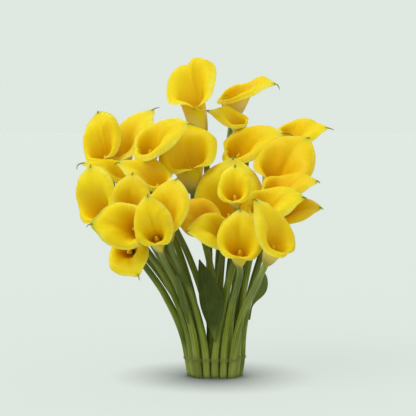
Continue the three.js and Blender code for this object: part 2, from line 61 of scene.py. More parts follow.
# The spathe of a bloom of size 1, as in the solids. Angles are in radians, and leans in degrees.
SPATHE_RISE = 80                 # stem joint to the back of the rim, along the bloom's axis
FRONT_RISE = 0.46                # height of the front of the rim, as a share of the rise
MOUTH_WIDTH = 76                 # across the mouth, side to side
BACK_REACH = 40                  # from the axis to the back of the rim
FRONT_REACH = 28                 # from the axis to the front of the rim
POINT_LENGTH = 8                 # how far the apex is drawn out to a point
POINT_WIDTH = 0.26               # half angle of the drawn-out point
NOTCH_WIDTH = 0.22               # half angle of the notch between the lobes of a parted apex
THROAT_RADIUS = 4.2              # of the tube where it leaves the stem
OVERLAP = 0.5                    # how far each margin wraps past the front
OVERLAP_START = 2.5              # angle where the margins begin to fall away from the rim
MARGIN_FALL = 0.42               # share of the spathe's length that the margins lose at their ends
WRAP_OFFSET = 0.85               # half the distance between the two layers where they overlap
RIM_WAVE = 2.0                   # height of the slow waves along the rim
RIM_WAVES = 3                    # waves in one turn
RIM_RISE_POWER = 1.4             # how late the rim climbs on its way from the front to the back
BACK_FLARE = 72                  # lean of the rim outward from the axis
SIDE_FLARE = 126
FRONT_FLARE = 114
MOUTH_SHARE = 0.62               # height of the middle of the mouth, as a share of the rise
ROOT_HANDLE_RISE = 0.38          # handles of the curve that each strip of the spathe follows
ROOT_HANDLE_REACH = 0.36
RIM_HANDLE = 0.46
POINT_HANDLE = 0.3
APEX_CROWDING = 0.4              # how much closer the columns stand at the apex than at the front

# What only the finer spathe has. A stretch is the part of the climb over which something grows.
RIM_CROWDING = 0.12              # how much closer the rows stand at the rim than at the joint
LIP_STRETCH = (0.84, 1.0)
LIP_AT_APEX = 0.35               # share of the lip's roll that is left at the apex
APEX_WIDTH = 0.5                 # half angle round the apex where the lip and the waves die away
FOLDS = ((7, 1.0, 0.5), (12, 2.3, 0.18))  # count in one turn, share of the seed, height
FOLD_STRETCH = (0.3, 1.0)
WAVES = ((4, 1.0, 1.0), (9, 1.7, 0.25))   # as the folds
WAVE_STRETCH = (0.55, 1.0)
WAVE_POWER = 1.5                 # how late the waves grow
GROOVE_DEPTH = 0.5               # of the groove along the middle, as a share of the folds' depth
GROOVE_WIDTH = 0.12
GROOVE_STRETCH = (0.3, 0.7)
RIM_THINNING = 0.35              # share of its thickness that a spathe loses towards its rim
THINNING_STRETCH = (0.5, 1.0)

# Where a spathe is green, and how strongly
APEX_TINT = 0.8
APEX_TINT_WIDTH = 0.16
APEX_TINT_STRETCH = (0.88, 1.03)
RIM_TINT_STRETCH = (0.93, 1.0)
RIM_TINT_TURNS = 2               # green stretches of the rim in one turn
KEEL_TINT = 0.2
KEEL_WIDTH = 0.1
KEEL_STRETCH = (0.5, 0.95)

# Maps that the streaks are laid out on. Each piece's map is shifted by its number, so no two look alike.
SEED_STEP = 7.31                 # between the seeds of two flowers
PETAL_MAP_RADIUS = 14            # radius at which the map of a spathe is true to its width
THREAD_MAP_RADIUS = 1            # radius at which the maps of tails and plies are true
PETAL_MAP_STEP = 5               # shift for each unit of the seed
STEM_MAP_STEP = 9
LEAF_MAP_STEP = 11               # shift for each leaf
PLY_MAP_STEP = 5                 # shift for each ply

# Tail, as in the solids
TAIL_LENGTH = 11
TAIL_ROOT_RADIUS = 1.1
TAIL_TIP_RADIUS = 0.45
TAIL_SINK = 3.5                  # how far the tail's root is sunk into the point of the spathe
TAIL_BEND = 0.45                 # share of the tail's length that goes on straight before it hangs
RIM_STEP = 0.07                  # share of the climb over which the heading of the apex is taken

# What only the finer tail has
TAIL_SIDES = 10
TAIL_ROOT_FACTOR = 1.15          # on the solid's radius at the root
TAIL_TIP_FACTOR = 0.7            # on the solid's radius at the tip
TAIL_TAPER = 0.7                 # how late the tail narrows
TAIL_CURL = 0.8                  # how far its end curls aside
TAIL_CURLS = (5, 4)              # how fast it curls to the back and to the side

# Spadix: its size as in the solids, and its florets
SPADIX_RADIUS = 3.9
SPADIX_LENGTH = 35
SPADIX_FOOT = 0.7                # radius at the foot, as a share of the radius higher up
SPADIX_SWELL = (0.0, 0.3)        # stretch over which it widens
SPADIX_ROUNDING = 6              # how late the top rounds off
SPADIX_TIP = 0.0004              # keeps the top from closing to nothing
FLORETS_ROUND = 8                # florets in one turn
FLORET_PHASE = 1.4               # how fast their rows wind up the spadix, radians of a wave in 1 mm
FLORET_HEIGHT = 0.07             # share of the radius
FLORET_STRETCH = (0.02, 0.2)

# Stems: their radii as in the solids, with ribs and a cut end
FOOT_RADIUS = 6.2
NECK_RADIUS = 5.0
RING_GAP = 1.35                  # corners of a solid nearer than this many foot radii share a ring
CORNER_DECIMALS = 5              # decimals of a metre that tell two corners of a solid apart
STEM_TOP = 1.2                   # how far the stem reaches into the root of its bloom
NECK_SLIMMING = 0.25             # how much thinner than its solid the stem is at its neck
STEM_SWELL = 0.02                # slow changes of the radius, as a share of it
STEM_SWELLS = 9
STEM_RIBS = ((3, 1, 0.022), (7, 2, 0.012))  # count in one turn, share of the seed, height
CUT_RADIUS = 0.93                # share of the radius that the bevelled cut end keeps
CUT_BEVEL = 0.12                 # height of that bevel, as a share of a step along the stem
CUT_RIM_TINT = 0.7               # how much of the cut's colour its rim has

# Leaves: as in the solids, but with a narrower root that lies closer, and a deeper fold
LEAF_THICKNESS = 0.9
LEAF_ROOT_WIDTH = 2.2
LEAF_SEAT_GAP = 0.2              # between a leaf's root and its stem
LEAF_GUTTER = 0.45               # depth of the fold along the midrib, as a share of the half width
LEAF_GUTTER_POWER = 1.2          # 1 is a sharp fold, and 2 a round one
LEAF_SWELL = (0.05, 0.5)         # stretch of the length over which a leaf widens
LEAF_TIP = 0.03                  # keeps the tip from closing to nothing
LEAF_WAVE = 0.9                  # height of the waves along the margins
LEAF_WAVES = (9, 2)              # how fast they run along and across the blade
LEAF_WAVE_STRETCH = (0.2, 0.6)
HUG_STRETCH = (0.2, 0.8)         # stretch over which a leaf that hugs its stem leaves it
LEAF_FOOT_TINT = 0.8             # how pale the foot of a leaf is
LEAF_FOOT_STRETCH = (0.0, 0.3)
MIDRIB_TINT = 0.7
MIDRIB_WIDTH = 0.9
LEAF_EDGE_TINT = 0.6
LEAF_EDGE_START = 0.9            # share of the half width where the lighter margin starts

# Twine: turns, rise and level as in the solid, but thinner and closer to the stems
TIE_RADIUS = 0.5
TIE_GAP = 0.3
TIE_TURNS = 2
TIE_START = math.pi / 2          # the ends lie at the back
TIE_PITCH = 2.4                  # rise of each turn
TIE_LEVEL = 1
TWINE_PLIES = 2
PLY_SHARE = 0.55                 # radius of a ply, as a share of the twine's
PLY_SIDES = 7

# How strongly the broad bands and the specks show in some materials
BAND_SHIFT = 0.22                # how far the bands move the colours of a spathe up and down its climb
FLORET_GAP_TINT = 0.5            # how dark the gaps between the florets are
LEAF_SPECK_START = 0.7           # only the highest of the specks' values show on a leaf
LEAF_SPECK_TINT = 0.3

# Camera, in the frame of the square photograph
PHOTO_WIDTH = 416                # pixels
PIXEL_SIZE = 1.6                 # millimetres for each pixel at the bouquet
CAMERA_DISTANCE = 2200
CAMERA_RISE = math.radians(3.5)  # how steeply the camera looks down
CAMERA_TARGET = np.array([-11.2, 0.0, 270.4])  # what stands in the middle of the picture
SENSOR_WIDTH = 36.0
VIEW_RANGE = 100.0               # metres

# Floor and light
FLOOR_HALF_WIDTH = 60000         # the floor runs on to the horizon, where it meets the even backdrop
FLOOR_SHARE = 0.63               # share of the paper's colour that makes the lit floor match the backdrop
FLOOR_GLOW = 0.78                # share of the floor's brightness that the paper gives off as an even glow of its own
PAPER_GRAIN = 1.01               # how much brighter the paper is where its grain is pale
FOOT_SHADE_REACH = 130           # how far the painted shadow round the foot reaches over the paper
# How dark the painted shadow round the foot is, as a power on the occlusion.
FOOT_SHADE_DEPTH = 2.3
KEY_PLACE = (-0.55, -0.45, 0.9)  # side that the key light comes from
KEY_STRENGTH = 1.42
KEY_SOFTNESS = 45                # degrees

# Flowers. mouth: middle of the mouth, aim: along the axis out of the mouth, apex: side on which the
# apex lies. Where a flower departs from the common form:
# tail is the way that its tail hangs, and tailLength is a factor on the tail.
# long, wide, reach, girth, wave and point are factors on the rise, the width, the back reach, how full
# the tube is, the rim's waves and the drawn-out point.
# curl is degrees added to the lean of the back of the rim, and roll to that of its sides and front.
# tilt is how much one side of the rim stands above its middle, as a share of the rise.
# notch is the depth of the notch in a parted apex, and crown takes the place of RIM_RISE_POWER.
FLOWERS = [
    {"id": "01", "mouth": [-184, 49, 371], "aim": [-0.2, -0.42, 0.85], "apex": [-0.1, 0.5, 0.8],
     "size": 1.3, "wide": 0.74, "tilt": -0.1, "roll": 14, "point": 0.3},
    {"id": "02", "mouth": [-152, 75, 374], "aim": [-0.05, -0.35, 1], "apex": [0.7, 0.4, 0.3],
     "size": 1.32, "tail": [1, 0, 0.1]},
    {"id": "03", "mouth": [-102, 10, 377], "aim": [0.1, -0.6, 0.75], "apex": [1, 0, 0.1], "size": 1.2,
     "roll": 10, "tail": [0.5, -0.3, -0.8]},
    {"id": "04", "mouth": [-42, 23, 354], "aim": [-0.1, -0.22, 0.95], "apex": [-0.2, 0.9, 0.3],
     "size": 1.3, "tilt": -0.08, "roll": 8, "point": 0.4, "girth": 1.4},
    {"id": "05", "mouth": [-97, -25, 323], "aim": [-0.3, -0.45, 0.85], "apex": [-0.9, 0.2, 0],
     "size": 1.05, "roll": 15},
    {"id": "06", "mouth": [-152, 6, 328], "aim": [-0.35, -0.3, 0.9], "apex": [-1, 0, -0.1],
     "size": 1.08, "tailLength": 1.8, "roll": 10},
    {"id": "07", "mouth": [-188, -31, 279], "aim": [-0.5, -0.5, 0.6], "apex": [0.1, 0.5, 0.9],
     "size": 1.25, "wide": 0.92, "point": 0.2, "roll": 12},
    {"id": "08", "mouth": [-132, -112, 250], "aim": [-0.4, -0.85, 0.3], "apex": [-0.9, 0.3, -0.1],
     "size": 1.01},
    {"id": "09", "mouth": [-93, -128, 245], "aim": [-0.15, -0.75, 0.6], "apex": [-0.1, 0.6, 0.85],
     "size": 1.18, "wide": 0.7, "point": 0.6},
    {"id": "10", "mouth": [-137, -74, 207], "aim": [-0.1, -0.97, 0.1], "apex": [0.5, -0.1, -0.8],
     "size": 0.92, "tailLength": 0.6},
    {"id": "11", "mouth": [-79, -99, 268], "aim": [-0.17, -0.52, 0.85], "apex": [0.4, 0.4, 0.7],
     "size": 1.09, "point": 0.3},
    {"id": "12", "mouth": [-132, -66, 284], "aim": [-0.1, -0.6, 0.8], "apex": [0.1, 0.5, 0.7],
     "size": 0.86, "point": 0.4},
    {"id": "13", "mouth": [-36, 76, 457], "aim": [-0.2, -0.02, 1], "apex": [0, 1, 0.1], "size": 1.2,
     "long": 1.45, "reach": 0.75, "curl": 25, "wave": 2.5, "point": 0, "tilt": -0.08, "notch": 6,
     "crown": 0.9, "tailLength": 0.5, "girth": 1.6},
    {"id": "14", "mouth": [36, 154, 458], "aim": [0.12, -0.35, 0.9], "apex": [1, -0.35, 0],
     "size": 1.15, "roll": 20, "tailLength": 1.4, "tilt": 0.06, "girth": 1.5, "long": 0.9,
     "reach": 1.25, "curl": 20},
    {"id": "15", "mouth": [34, 103, 413], "aim": [-0.3, -0.4, 0.85], "apex": [-0.8, -0.2, 0.5],
     "size": 0.85, "roll": 15},
    {"id": "16", "mouth": [44, 55, 369], "aim": [0.22, -0.6, 0.75], "apex": [1, 0, 0], "size": 1.25,
     "roll": 10, "tailLength": 3, "girth": 1.15, "tail": [0.5, 0, -0.85]},
    {"id": "17", "mouth": [128, 66, 390], "aim": [0.45, -0.4, 0.85], "apex": [1, 0, 0], "size": 1,
     "roll": 15, "tilt": 0.08, "tail": [0.8, 0, -0.5]},
    {"id": "18", "mouth": [104, -4, 335], "aim": [0.3, -0.45, 0.8], "apex": [0.6, 0.5, 0.5],
     "size": 1.32, "roll": 10, "point": 0.5},
    {"id": "19", "mouth": [20, -4, 275], "aim": [-0.1, -0.62, 0.72], "apex": [0.1, 0.2, 1],
     "size": 1.29, "wide": 1.2, "roll": 10, "tailLength": 2.2, "point": 0.6},
    {"id": "20", "mouth": [75, -105, 283], "aim": [0.38, -0.6, 0.75], "apex": [1, 0, 0], "size": 1.06,
     "roll": 10},
    {"id": "21", "mouth": [28, -122, 305], "aim": [-0.12, -0.6, 0.75], "apex": [0.1, 0.5, 0.8],
     "size": 0.73, "point": 0.3},
    {"id": "22", "mouth": [-20, -52, 256], "aim": [-0.45, -0.5, 0.65], "apex": [-0.7, 0.3, 0.4],
     "size": 0.9, "point": 0.3},
    {"id": "23", "mouth": [9, -90, 241], "aim": [-0.24, -0.68, 0.55], "apex": [-0.85, 0.1, -0.45],
     "size": 0.99, "tailLength": 0.4},
    {"id": "24", "mouth": [37, -142, 226], "aim": [0, -0.6, 0.75], "apex": [0, 0.4, 0.9], "size": 0.95,
     "roll": 5, "point": 0.6},
    {"id": "25", "mouth": [92, -173, 238], "aim": [0.32, -0.45, 0.8], "apex": [-0.7, 0.2, 0.6],
     "size": 1.05, "wide": 1.12},
    {"id": "26", "mouth": [100, -53, 308], "aim": [0.4, -0.45, 0.8], "apex": [1, -0.1, 0],
     "size": 1.06, "roll": 10, "tailLength": 0.5},
    {"id": "27", "mouth": [109, -29, 268], "aim": [0.35, -0.5, 0.7], "apex": [0.9, 0, -0.3],
     "size": 1.04, "tailLength": 0.4},
]

# Leaves: the stem that each springs from, the level of its root, the side of the stem, the point the
# blade bends over, the tip, the widest width, and how early the blade narrows to its tip. swell is the
# stretch over which it widens, lean is how much wider its right half is, pale is how much painted light
# lightens it, and hug is how closely its lower part follows the stem.
LEAVES = [
    {"id": "1", "stem": "21", "level": 2, "side": [-0.5, -0.866], "middle": [-12, -52, 112],
     "tip": [-25, -50, 192], "width": 45, "taper": 0.9, "lean": 0.45, "swell": (0.0, 0.64)},
    {"id": "2", "stem": "27", "level": 3, "side": [1, 0], "middle": [76, 2, 128], "tip": [79, 4, 165],
     "width": 21, "taper": 0.5, "pale": 1.0, "swell": (0.25, 0.72), "hug": 1.0},
    {"id": "3", "stem": "09", "level": 3, "side": [-0.5, -0.866], "middle": [-50, -56, 130],
     "tip": [-60, -69, 172], "width": 12, "taper": 0.8, "pale": 0.5},
]

# How green a spathe's rim is in places, and how strong its orange blush is
COMMON_TINTS = (0.2, 0.0)
TINTS = {
    "01": (0.4, 0.0), "05": (0.5, 0.2), "06": (0.5, 0.0), "08": (1.0, 0.0), "11": (0.3, 0.2),
    "12": (0.2, 0.4), "15": (0.5, 0.0), "16": (0.3, 0.2), "18": (0.1, 0.5), "22": (0.1, 1.0),
    "24": (0.5, 0.1), "25": (0.4, 0.1), "26": (0.2, 0.5), "27": (0.2, 0.5),
}


# Small helpers


def smoothstep(low, high, value):
    """0 up to low, 1 from high on, and a smooth rise between them."""
    share = np.clip((value - low) / (high - low), 0, 1)
    return share * share * (3 - 2 * share)


def bell(value, width):
    """1 where the value is zero, falling smoothly away on both sides."""
    return np.exp(-((value / width) ** 2))


def ripples(angle, seed, parts):
    """Sum of waves round an axis. parts gives each wave's count in one turn, share of the seed, height."""
    return sum(height * np.sin(count * angle + share * seed) for count, share, height in parts)


def unit(vector):
    """The vector, or each vector of an array, at length 1."""
    return vector / np.linalg.norm(vector, axis=-1, keepdims=True)


def bow(start, handle, end, t):
    """Points of a curve that bends once, towards its handle."""
    return (1 - t) ** 2 * start + 2 * (1 - t) * t * handle + t**2 * end


def lengths_along(line):
    """Distance along a line of points, at each point."""
    return np.concatenate([[0], np.cumsum(np.linalg.norm(np.diff(line, axis=0), axis=1))])


def smooth_line(points, step):
    """Smooth curve that runs through all the points, about one point for each step of length."""
    points = np.asarray(points, float)
    padded = np.vstack([2 * points[0] - points[1], points, 2 * points[-1] - points[-2]])
    line = []
    for a, b, c, d in zip(padded, padded[1:], padded[2:], padded[3:]):
        count = max(2, round(np.linalg.norm(c - b) / step))
        t = np.arange(count)[:, None] / count
        curve = 2 * b + (c - a) * t + (2 * a - 5 * b + 4 * c - d) * t**2 + (3 * b - a - 3 * c + d) * t**3
        line.append(0.5 * curve)
    return np.vstack([*line, points[-1:]])


def turn_angles(sides):
    """Angles of points spread evenly round a circle."""
    return 2 * math.pi * np.arange(sides) / sides


def seed_of(flower):
    """A number of its own for each flower, the same in each run."""
    return int(flower["id"]) * SEED_STEP


# Shape of the spathe


def bloom_frame(flower):
    """The stem joint of a bloom, and its axes: towards the apex, to the side, out of the mouth."""
    axis = unit(np.array(flower["aim"], float))
    apex = np.array(flower["apex"], float)
    apex = unit(apex - axis * (apex @ axis))
    depth = MOUTH_SHARE * SPATHE_RISE * flower["size"] * flower.get("long", 1)
    base = np.array(flower["mouth"], float) - axis * depth
    return base, np.stack([apex, np.cross(axis, apex), axis])


def rim_curve(flower, cosine, sine, turn):
    """Points of the rim and its lean outward, by the turn round the axis."""
    size = flower["size"]
    rise = SPATHE_RISE * size * flower.get("long", 1)
    wide = size * flower.get("wide", 1)
    back_reach = BACK_REACH * flower.get("reach", 1)
    back_share = np.maximum(cosine, 0) ** 2
    front_share = np.maximum(-cosine, 0) ** 2
    back_flare = BACK_FLARE + flower.get("curl", 0)
    side_flare = SIDE_FLARE + flower.get("roll", 0)
    front_flare = FRONT_FLARE + flower.get("roll", 0)
    flare = np.radians(back_flare * back_share + side_flare * sine**2 + front_flare * front_share)
    wave = RIM_WAVE * flower.get("wave", 1) * size * np.sin(RIM_WAVES * turn) * (1 - back_share)
    climbing = (0.5 + 0.5 * cosine) ** flower.get("crown", RIM_RISE_POWER)
    height = FRONT_RISE + (1 - FRONT_RISE) * climbing + flower.get("tilt", 0) * sine
    notch = flower.get("notch", 0) * bell(turn, NOTCH_WIDTH)
    rim = np.stack([
        wide * ((back_reach - FRONT_REACH) / 2 + (back_reach + FRONT_REACH) / 2 * cosine),
        wide * MOUTH_WIDTH / 2 * sine,
        rise * height + wave - notch,
    ], -1)
    lean = np.stack([cosine * np.sin(flare), sine * np.sin(flare), np.cos(flare)], -1)
    return rim, lean


def spathe_points(flower, turn, climb):
    """Middle surface of a spathe in its bloom's frame. turn is 0 at the apex, climb is 0 at the joint
    and 1 at the rim."""
    turn, climb = np.broadcast_arrays(turn, climb)
    cosine, sine = np.cos(turn), np.sin(turn)
    rim, lean = rim_curve(flower, cosine, sine, turn)
    outward = np.stack([cosine, sine, np.zeros_like(cosine)], -1)
    root = outward * THROAT_RADIUS
    span = np.linalg.norm(rim - root, axis=-1)[..., None]
    girth = ROOT_HANDLE_REACH * flower.get("girth", 1)
    root_handle = outward * (THROAT_RADIUS + girth * np.hypot(rim[..., 0], rim[..., 1]))[..., None]
    root_handle[..., 2] = ROOT_HANDLE_RISE * rim[..., 2]
    rim_handle = rim - lean * RIM_HANDLE * span
    point = (POINT_LENGTH * flower.get("point", 1) * flower["size"] * bell(turn, POINT_WIDTH))[..., None]
    rim = rim + lean * point
    rim_handle = rim_handle + lean * POINT_HANDLE * point
    fall = MARGIN_FALL * smoothstep(OVERLAP_START, math.pi + OVERLAP, np.abs(turn))
    t = (climb * (1 - fall))[..., None]
    return (
        (1 - t) ** 3 * root
        + 3 * (1 - t) ** 2 * t * root_handle
        + 3 * (1 - t) * t**2 * rim_handle
        + t**3 * rim
    )


def grid_normals(points):
    """Outward normals of a grid of points, and its unit steps across and along."""
    across = unit(np.gradient(points, axis=0))
    along = unit(np.gradient(points, axis=1))
    return unit(np.cross(across, along)), across, along


def spathe_sheet(flower, sizes):
    """Grid of the spathe with its rolled lip and soft folds, with the turn and climb of each point."""
    reach = math.pi + OVERLAP
    u = np.linspace(-1, 1, sizes.spathe_columns + 1)
    turn = (reach * ((1 - APEX_CROWDING) * u + APEX_CROWDING * u**3))[:, None]
    v = np.linspace(0, 1, sizes.spathe_rows + 1)
    climb = (v + RIM_CROWDING * np.sin(math.pi * v) * v)[None, :]
    climb = climb / climb.max()
    points = spathe_points(flower, turn, climb)
    turn, climb = np.broadcast_arrays(turn, climb)
    normal, _, _ = grid_normals(points)
    seed = seed_of(flower)
    fold_depth = sizes.fold_depth / MM
    off_apex = 1 - bell(turn, APEX_WIDTH)
    lip = smoothstep(*LIP_STRETCH, climb) ** 2 * (LIP_AT_APEX + (1 - LIP_AT_APEX) * off_apex)
    folds = ripples(turn, seed, FOLDS) * smoothstep(*FOLD_STRETCH, climb)
    waves = ripples(turn, seed, WAVES) * smoothstep(*WAVE_STRETCH, climb) ** WAVE_POWER * off_apex
    groove = GROOVE_DEPTH * bell(turn, GROOVE_WIDTH) * smoothstep(*GROOVE_STRETCH, climb)
    offset = (
        lip * sizes.lip_roll / MM + waves * sizes.rim_wave / MM + (folds - groove) * fold_depth
        + WRAP_OFFSET * turn / math.pi
    )
    return points + normal * offset[..., None], turn, climb


# Mesh making


def make_object(name, points, faces, material, attributes, replaced=()):
    """One smooth mesh object from points in millimetres. attributes maps a name to its values."""
    mesh = bpy.data.meshes.new(name)
    mesh.from_pydata((np.asarray(points) * MM).tolist(), [], faces)
    mesh.update()
    mesh.shade_smooth()
    for key, values in attributes.items():
        values = np.asarray(values, np.float32)
        if values.ndim == 2:
            mesh.attributes.new(key, "FLOAT_VECTOR", "POINT").data.foreach_set("vector", values.ravel())
        else:
            mesh.attributes.new(key, "FLOAT", "POINT").data.foreach_set("value", values)
    mesh.materials.append(material)
    piece = bpy.data.objects.new(name, mesh)
    bpy.context.scene.collection.objects.link(piece)
    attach(piece, BODY)
    if replaced:
        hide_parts(*replaced)
    return piece


def border_of(columns, rows):
    """Indices of a grid's points up its first column, over the rim and down its last column."""
    per = rows + 1
    left = list(range(rows))
    rim = [i * per + rows for i in range(columns)]
    right = [columns * per + j for j in range(rows, -1, -1)]
    return left + rim + right


def sheet_faces(columns, rows):
    """Faces of a closed sheet: outer grid, inner grid, and a rounded edge row round three sides.
    The grids come first, each column by column, then the edge row from the first column's foot, over
    the rim and down the last column."""
    per = rows + 1
    grid = (columns + 1) * per
    faces = []
    for i in range(columns):
        for j in range(rows):
            a, b, c, d = i * per + j, (i + 1) * per + j, (i + 1) * per + j + 1, i * per + j + 1
            faces.append((a, b, c, d))
            faces.append((grid + a, grid + d, grid + c, grid + b))
        foot, after = i * per, (i + 1) * per
        faces.append((grid + foot, grid + after, after, foot))
    border = border_of(columns, rows)
    for k in range(len(border) - 1):
        a, b = border[k], border[k + 1]
        edge = 2 * grid + k
        faces.append((a, b, edge + 1, edge))
        faces.append((edge, edge + 1, grid + b, grid + a))
    faces.append((border[0], 2 * grid, grid + border[0]))
    faces.append((border[-1], grid + border[-1], 2 * grid + len(border) - 1))
    return faces


def closed_sheet(points, thickness):
    """Outer and inner faces of a sheet at half its thickness, with a rounded edge. Returns all points,
    the faces, the index of the grid point that each point stands at, and its side: 1 outside, 0 inside and
    0.5 on the edge."""
    columns, rows = points.shape[0] - 1, points.shape[1] - 1
    normal, across, along = grid_normals(points)
    half = np.broadcast_to(np.asarray(thickness, float) / 2, points.shape[:2])[..., None]
    flat = points.reshape(-1, 3)
    outer = (points + normal * half).reshape(-1, 3)
    inner = (points - normal * half).reshape(-1, 3)
    away = np.zeros_like(points)
    away[0] -= across[0]
    away[-1] += across[-1]
    away[:, -1] += along[:, -1]
    border = border_of(columns, rows)
    away = away.reshape(-1, 3)[border]
    edge = flat[border] + unit(away) * half.reshape(-1, 1)[border]
    grid = np.arange(len(flat))
    return (
        np.vstack([outer, inner, edge]),
        sheet_faces(columns, rows),
        np.concatenate([grid, grid, border]),
        np.concatenate([np.ones(len(flat)), np.zeros(len(flat)), np.full(len(border), 0.5)]),
    )


def tube(line, radii, sides, facing=(1.0, 0.0, 0.0), wobble=0.0):
    """Points and faces of a closed tube along a line of points, with the angle and the distance along
    the line of each point. Its ends are capped by fans, whose two middles come last. wobble is added to
    the radius at each point of the line and each side, as a share of it."""
    line = np.asarray(line, float)
    tangent = unit(np.gradient(line, axis=0))
    facing = np.asarray(facing, float)
    normal = unit(facing - tangent * (tangent @ facing)[:, None])
    binormal = np.cross(tangent, normal)
    angle = turn_angles(sides)
    radii = np.broadcast_to(radii, len(line))[:, None] * (1 + wobble)
    ring = normal[:, None] * np.cos(angle)[:, None] + binormal[:, None] * np.sin(angle)[:, None]
    points = line[:, None] + ring * np.broadcast_to(radii, (len(line), sides))[..., None]
    lengths = lengths_along(line)
    faces = []
    for i in range(len(line) - 1):
        for k in range(sides):
            n = (k + 1) % sides
            faces.append((i * sides + k, i * sides + n, (i + 1) * sides + n, (i + 1) * sides + k))
    count = len(line) * sides
    last = count - sides
    for k in range(sides):
        n = (k + 1) % sides
        faces.append((count, n, k))
        faces.append((count + 1, last + k, last + n))
    all_points = np.vstack([points.reshape(-1, 3), line[:1], line[-1:]])
    angles = np.concatenate([np.tile(angle, len(line)), [0, 0]])
    along = np.concatenate([np.repeat(lengths, sides), [0, lengths[-1]]])
    return all_points, faces, angles, along


def round_map(angles, radius, along, shift):
    """Streak map of a round piece: millimetres across in X and Z, and along in Y."""
    return np.stack([np.cos(angles) * radius, along, np.sin(angles) * radius + shift], 1)


# Shader helpers


def add_node(tree, kind, inputs=None, **settings):
    """A node with its settings and its inputs, each a value or another node's output socket."""
    node = tree.nodes.new(kind)
    for key, value in settings.items():
        setattr(node, key, value)
    for key, value in (inputs or {}).items():
        if isinstance(value, bpy.types.NodeSocket):
            tree.links.new(value, node.inputs[key])
        else:
            node.inputs[key].default_value = value
    return node


def math_node(tree, operation, *values):
    """Result of a Math node."""
    return add_node(tree, "ShaderNodeMath", dict(enumerate(values)), operation=operation).outputs[0]


def above(tree, value, start, gain):
    """How far a value lies above its start, times a gain. It is 0 below the start."""
    over = math_node(tree, "MAXIMUM", math_node(tree, "SUBTRACT", value, start), 0.0)
    return math_node(tree, "MULTIPLY", over, gain)


def mix_colours(tree, factor, first, second):
    """Mix of two colours, the second one where the factor is 1."""
    node = add_node(tree, "ShaderNodeMix", data_type="RGBA")
    for name, value in (("Factor", factor), ("A", first), ("B", second)):
        socket = next(s for s in node.inputs if s.name == name and s.enabled)
        if isinstance(value, bpy.types.NodeSocket):
            tree.links.new(value, socket)
        else:
            socket.default_value = value
    return next(s for s in node.outputs if s.enabled)


def ramp(tree, factor, stops):
    """Colour ramp through (position, colour) stops."""
    node = add_node(tree, "ShaderNodeValToRGB", {"Fac": factor})
    elements = node.color_ramp.elements
    while len(elements) < len(stops):
        elements.new(0.5)
    for element, (position, colour) in zip(elements, stops):
        element.position = position
        element.color = rgba(colour)
    return node.outputs["Color"]


def attribute(tree, name, output="Fac"):
    """Values that a piece's mesh carries under this name."""
    return add_node(tree, "ShaderNodeAttribute", attribute_name=name).outputs[output]


def rgba(colour):
    """The colour with full opacity."""
    return (*colour, 1.0)


def new_material(name, **sockets):
    """A material with its Principled shader, whose even values are set on the shader itself."""
    material = bpy.data.materials.new(name)
    material.use_nodes = True
    tree = material.node_tree
    shader = tree.nodes["Principled BSDF"]
    for key, value in sockets.items():
        shader.inputs[key.replace("_", " ")].default_value = value
    return material, tree, shader


def streak_group():
    """Node group for what runs along a plant: fine streaks, broad bands and small specks. Its map has
    millimetres across in X and Z and millimetres along in Y."""
    name = "plant_streaks"
    if name in bpy.data.node_groups:
        return bpy.data.node_groups[name]
    group = bpy.data.node_groups.new(name, "ShaderNodeTree")
    face = group.interface
    face.new_socket("Map", in_out="INPUT", socket_type="NodeSocketVector")
    defaults = (("Streak Width", 1.0), ("Streak Length", 30.0), ("Band Size", 15.0), ("Speck Size", 1.0))
    for label, default in defaults:
        socket = face.new_socket(label, in_out="INPUT", socket_type="NodeSocketFloat")
        socket.default_value = default
    for label in ("Streaks", "Bands", "Specks"):
        face.new_socket(label, in_out="OUTPUT", socket_type="NodeSocketFloat")
    inside = add_node(group, "NodeGroupInput").outputs
    outside = add_node(group, "NodeGroupOutput")
    parts = add_node(group, "ShaderNodeSeparateXYZ", {0: inside["Map"]}).outputs
    x = math_node(group, "DIVIDE", parts[0], inside["Streak Width"])
    y = math_node(group, "DIVIDE", parts[1], inside["Streak Length"])
    z = math_node(group, "DIVIDE", parts[2], inside["Streak Width"])
    stretched = add_node(group, "ShaderNodeCombineXYZ", {0: x, 1: y, 2: z}).outputs[0]
    fine = add_node(group, "ShaderNodeTexNoise", {
        "Vector": stretched, "Scale": 1.0, "Detail": 3.0, "Roughness": 0.6})
    group.links.new(fine.outputs["Fac"], outside.inputs["Streaks"])
    for label, size, detail in (("Bands", "Band Size", 2.0), ("Specks", "Speck Size", 1.0)):
        scaled = add_node(group, "ShaderNodeVectorMath", {0: inside["Map"]}, operation="SCALE")
        inverse = math_node(group, "DIVIDE", 1.0, inside[size])
        group.links.new(inverse, scaled.inputs["Scale"])
        noise = add_node(group, "ShaderNodeTexNoise", {
            "Vector": scaled.outputs[0], "Scale": 1.0, "Detail": detail})
        group.links.new(noise.outputs["Fac"], outside.inputs[label])
    return group


def streaks(tree, width, length, band, speck):
    """The streak group in a material, with its sizes in millimetres."""
    node = add_node(tree, "ShaderNodeGroup", node_tree=streak_group())
    tree.links.new(attribute(tree, "streak_map", "Vector"), node.inputs["Map"])
    node.inputs["Streak Width"].default_value = width
    node.inputs["Streak Length"].default_value = length
    node.inputs["Band Size"].default_value = band
    node.inputs["Speck Size"].default_value = speck
    return node.outputs


def bump(tree, shader, height, strength, depth):
    """Relief from a height between 0 and 1, with its depth in millimetres."""
    node = add_node(tree, "ShaderNodeBump", {"Height": height, "Strength": strength, "Distance": depth * MM})
    tree.links.new(node.outputs[0], shader.inputs["Normal"])


# Materials


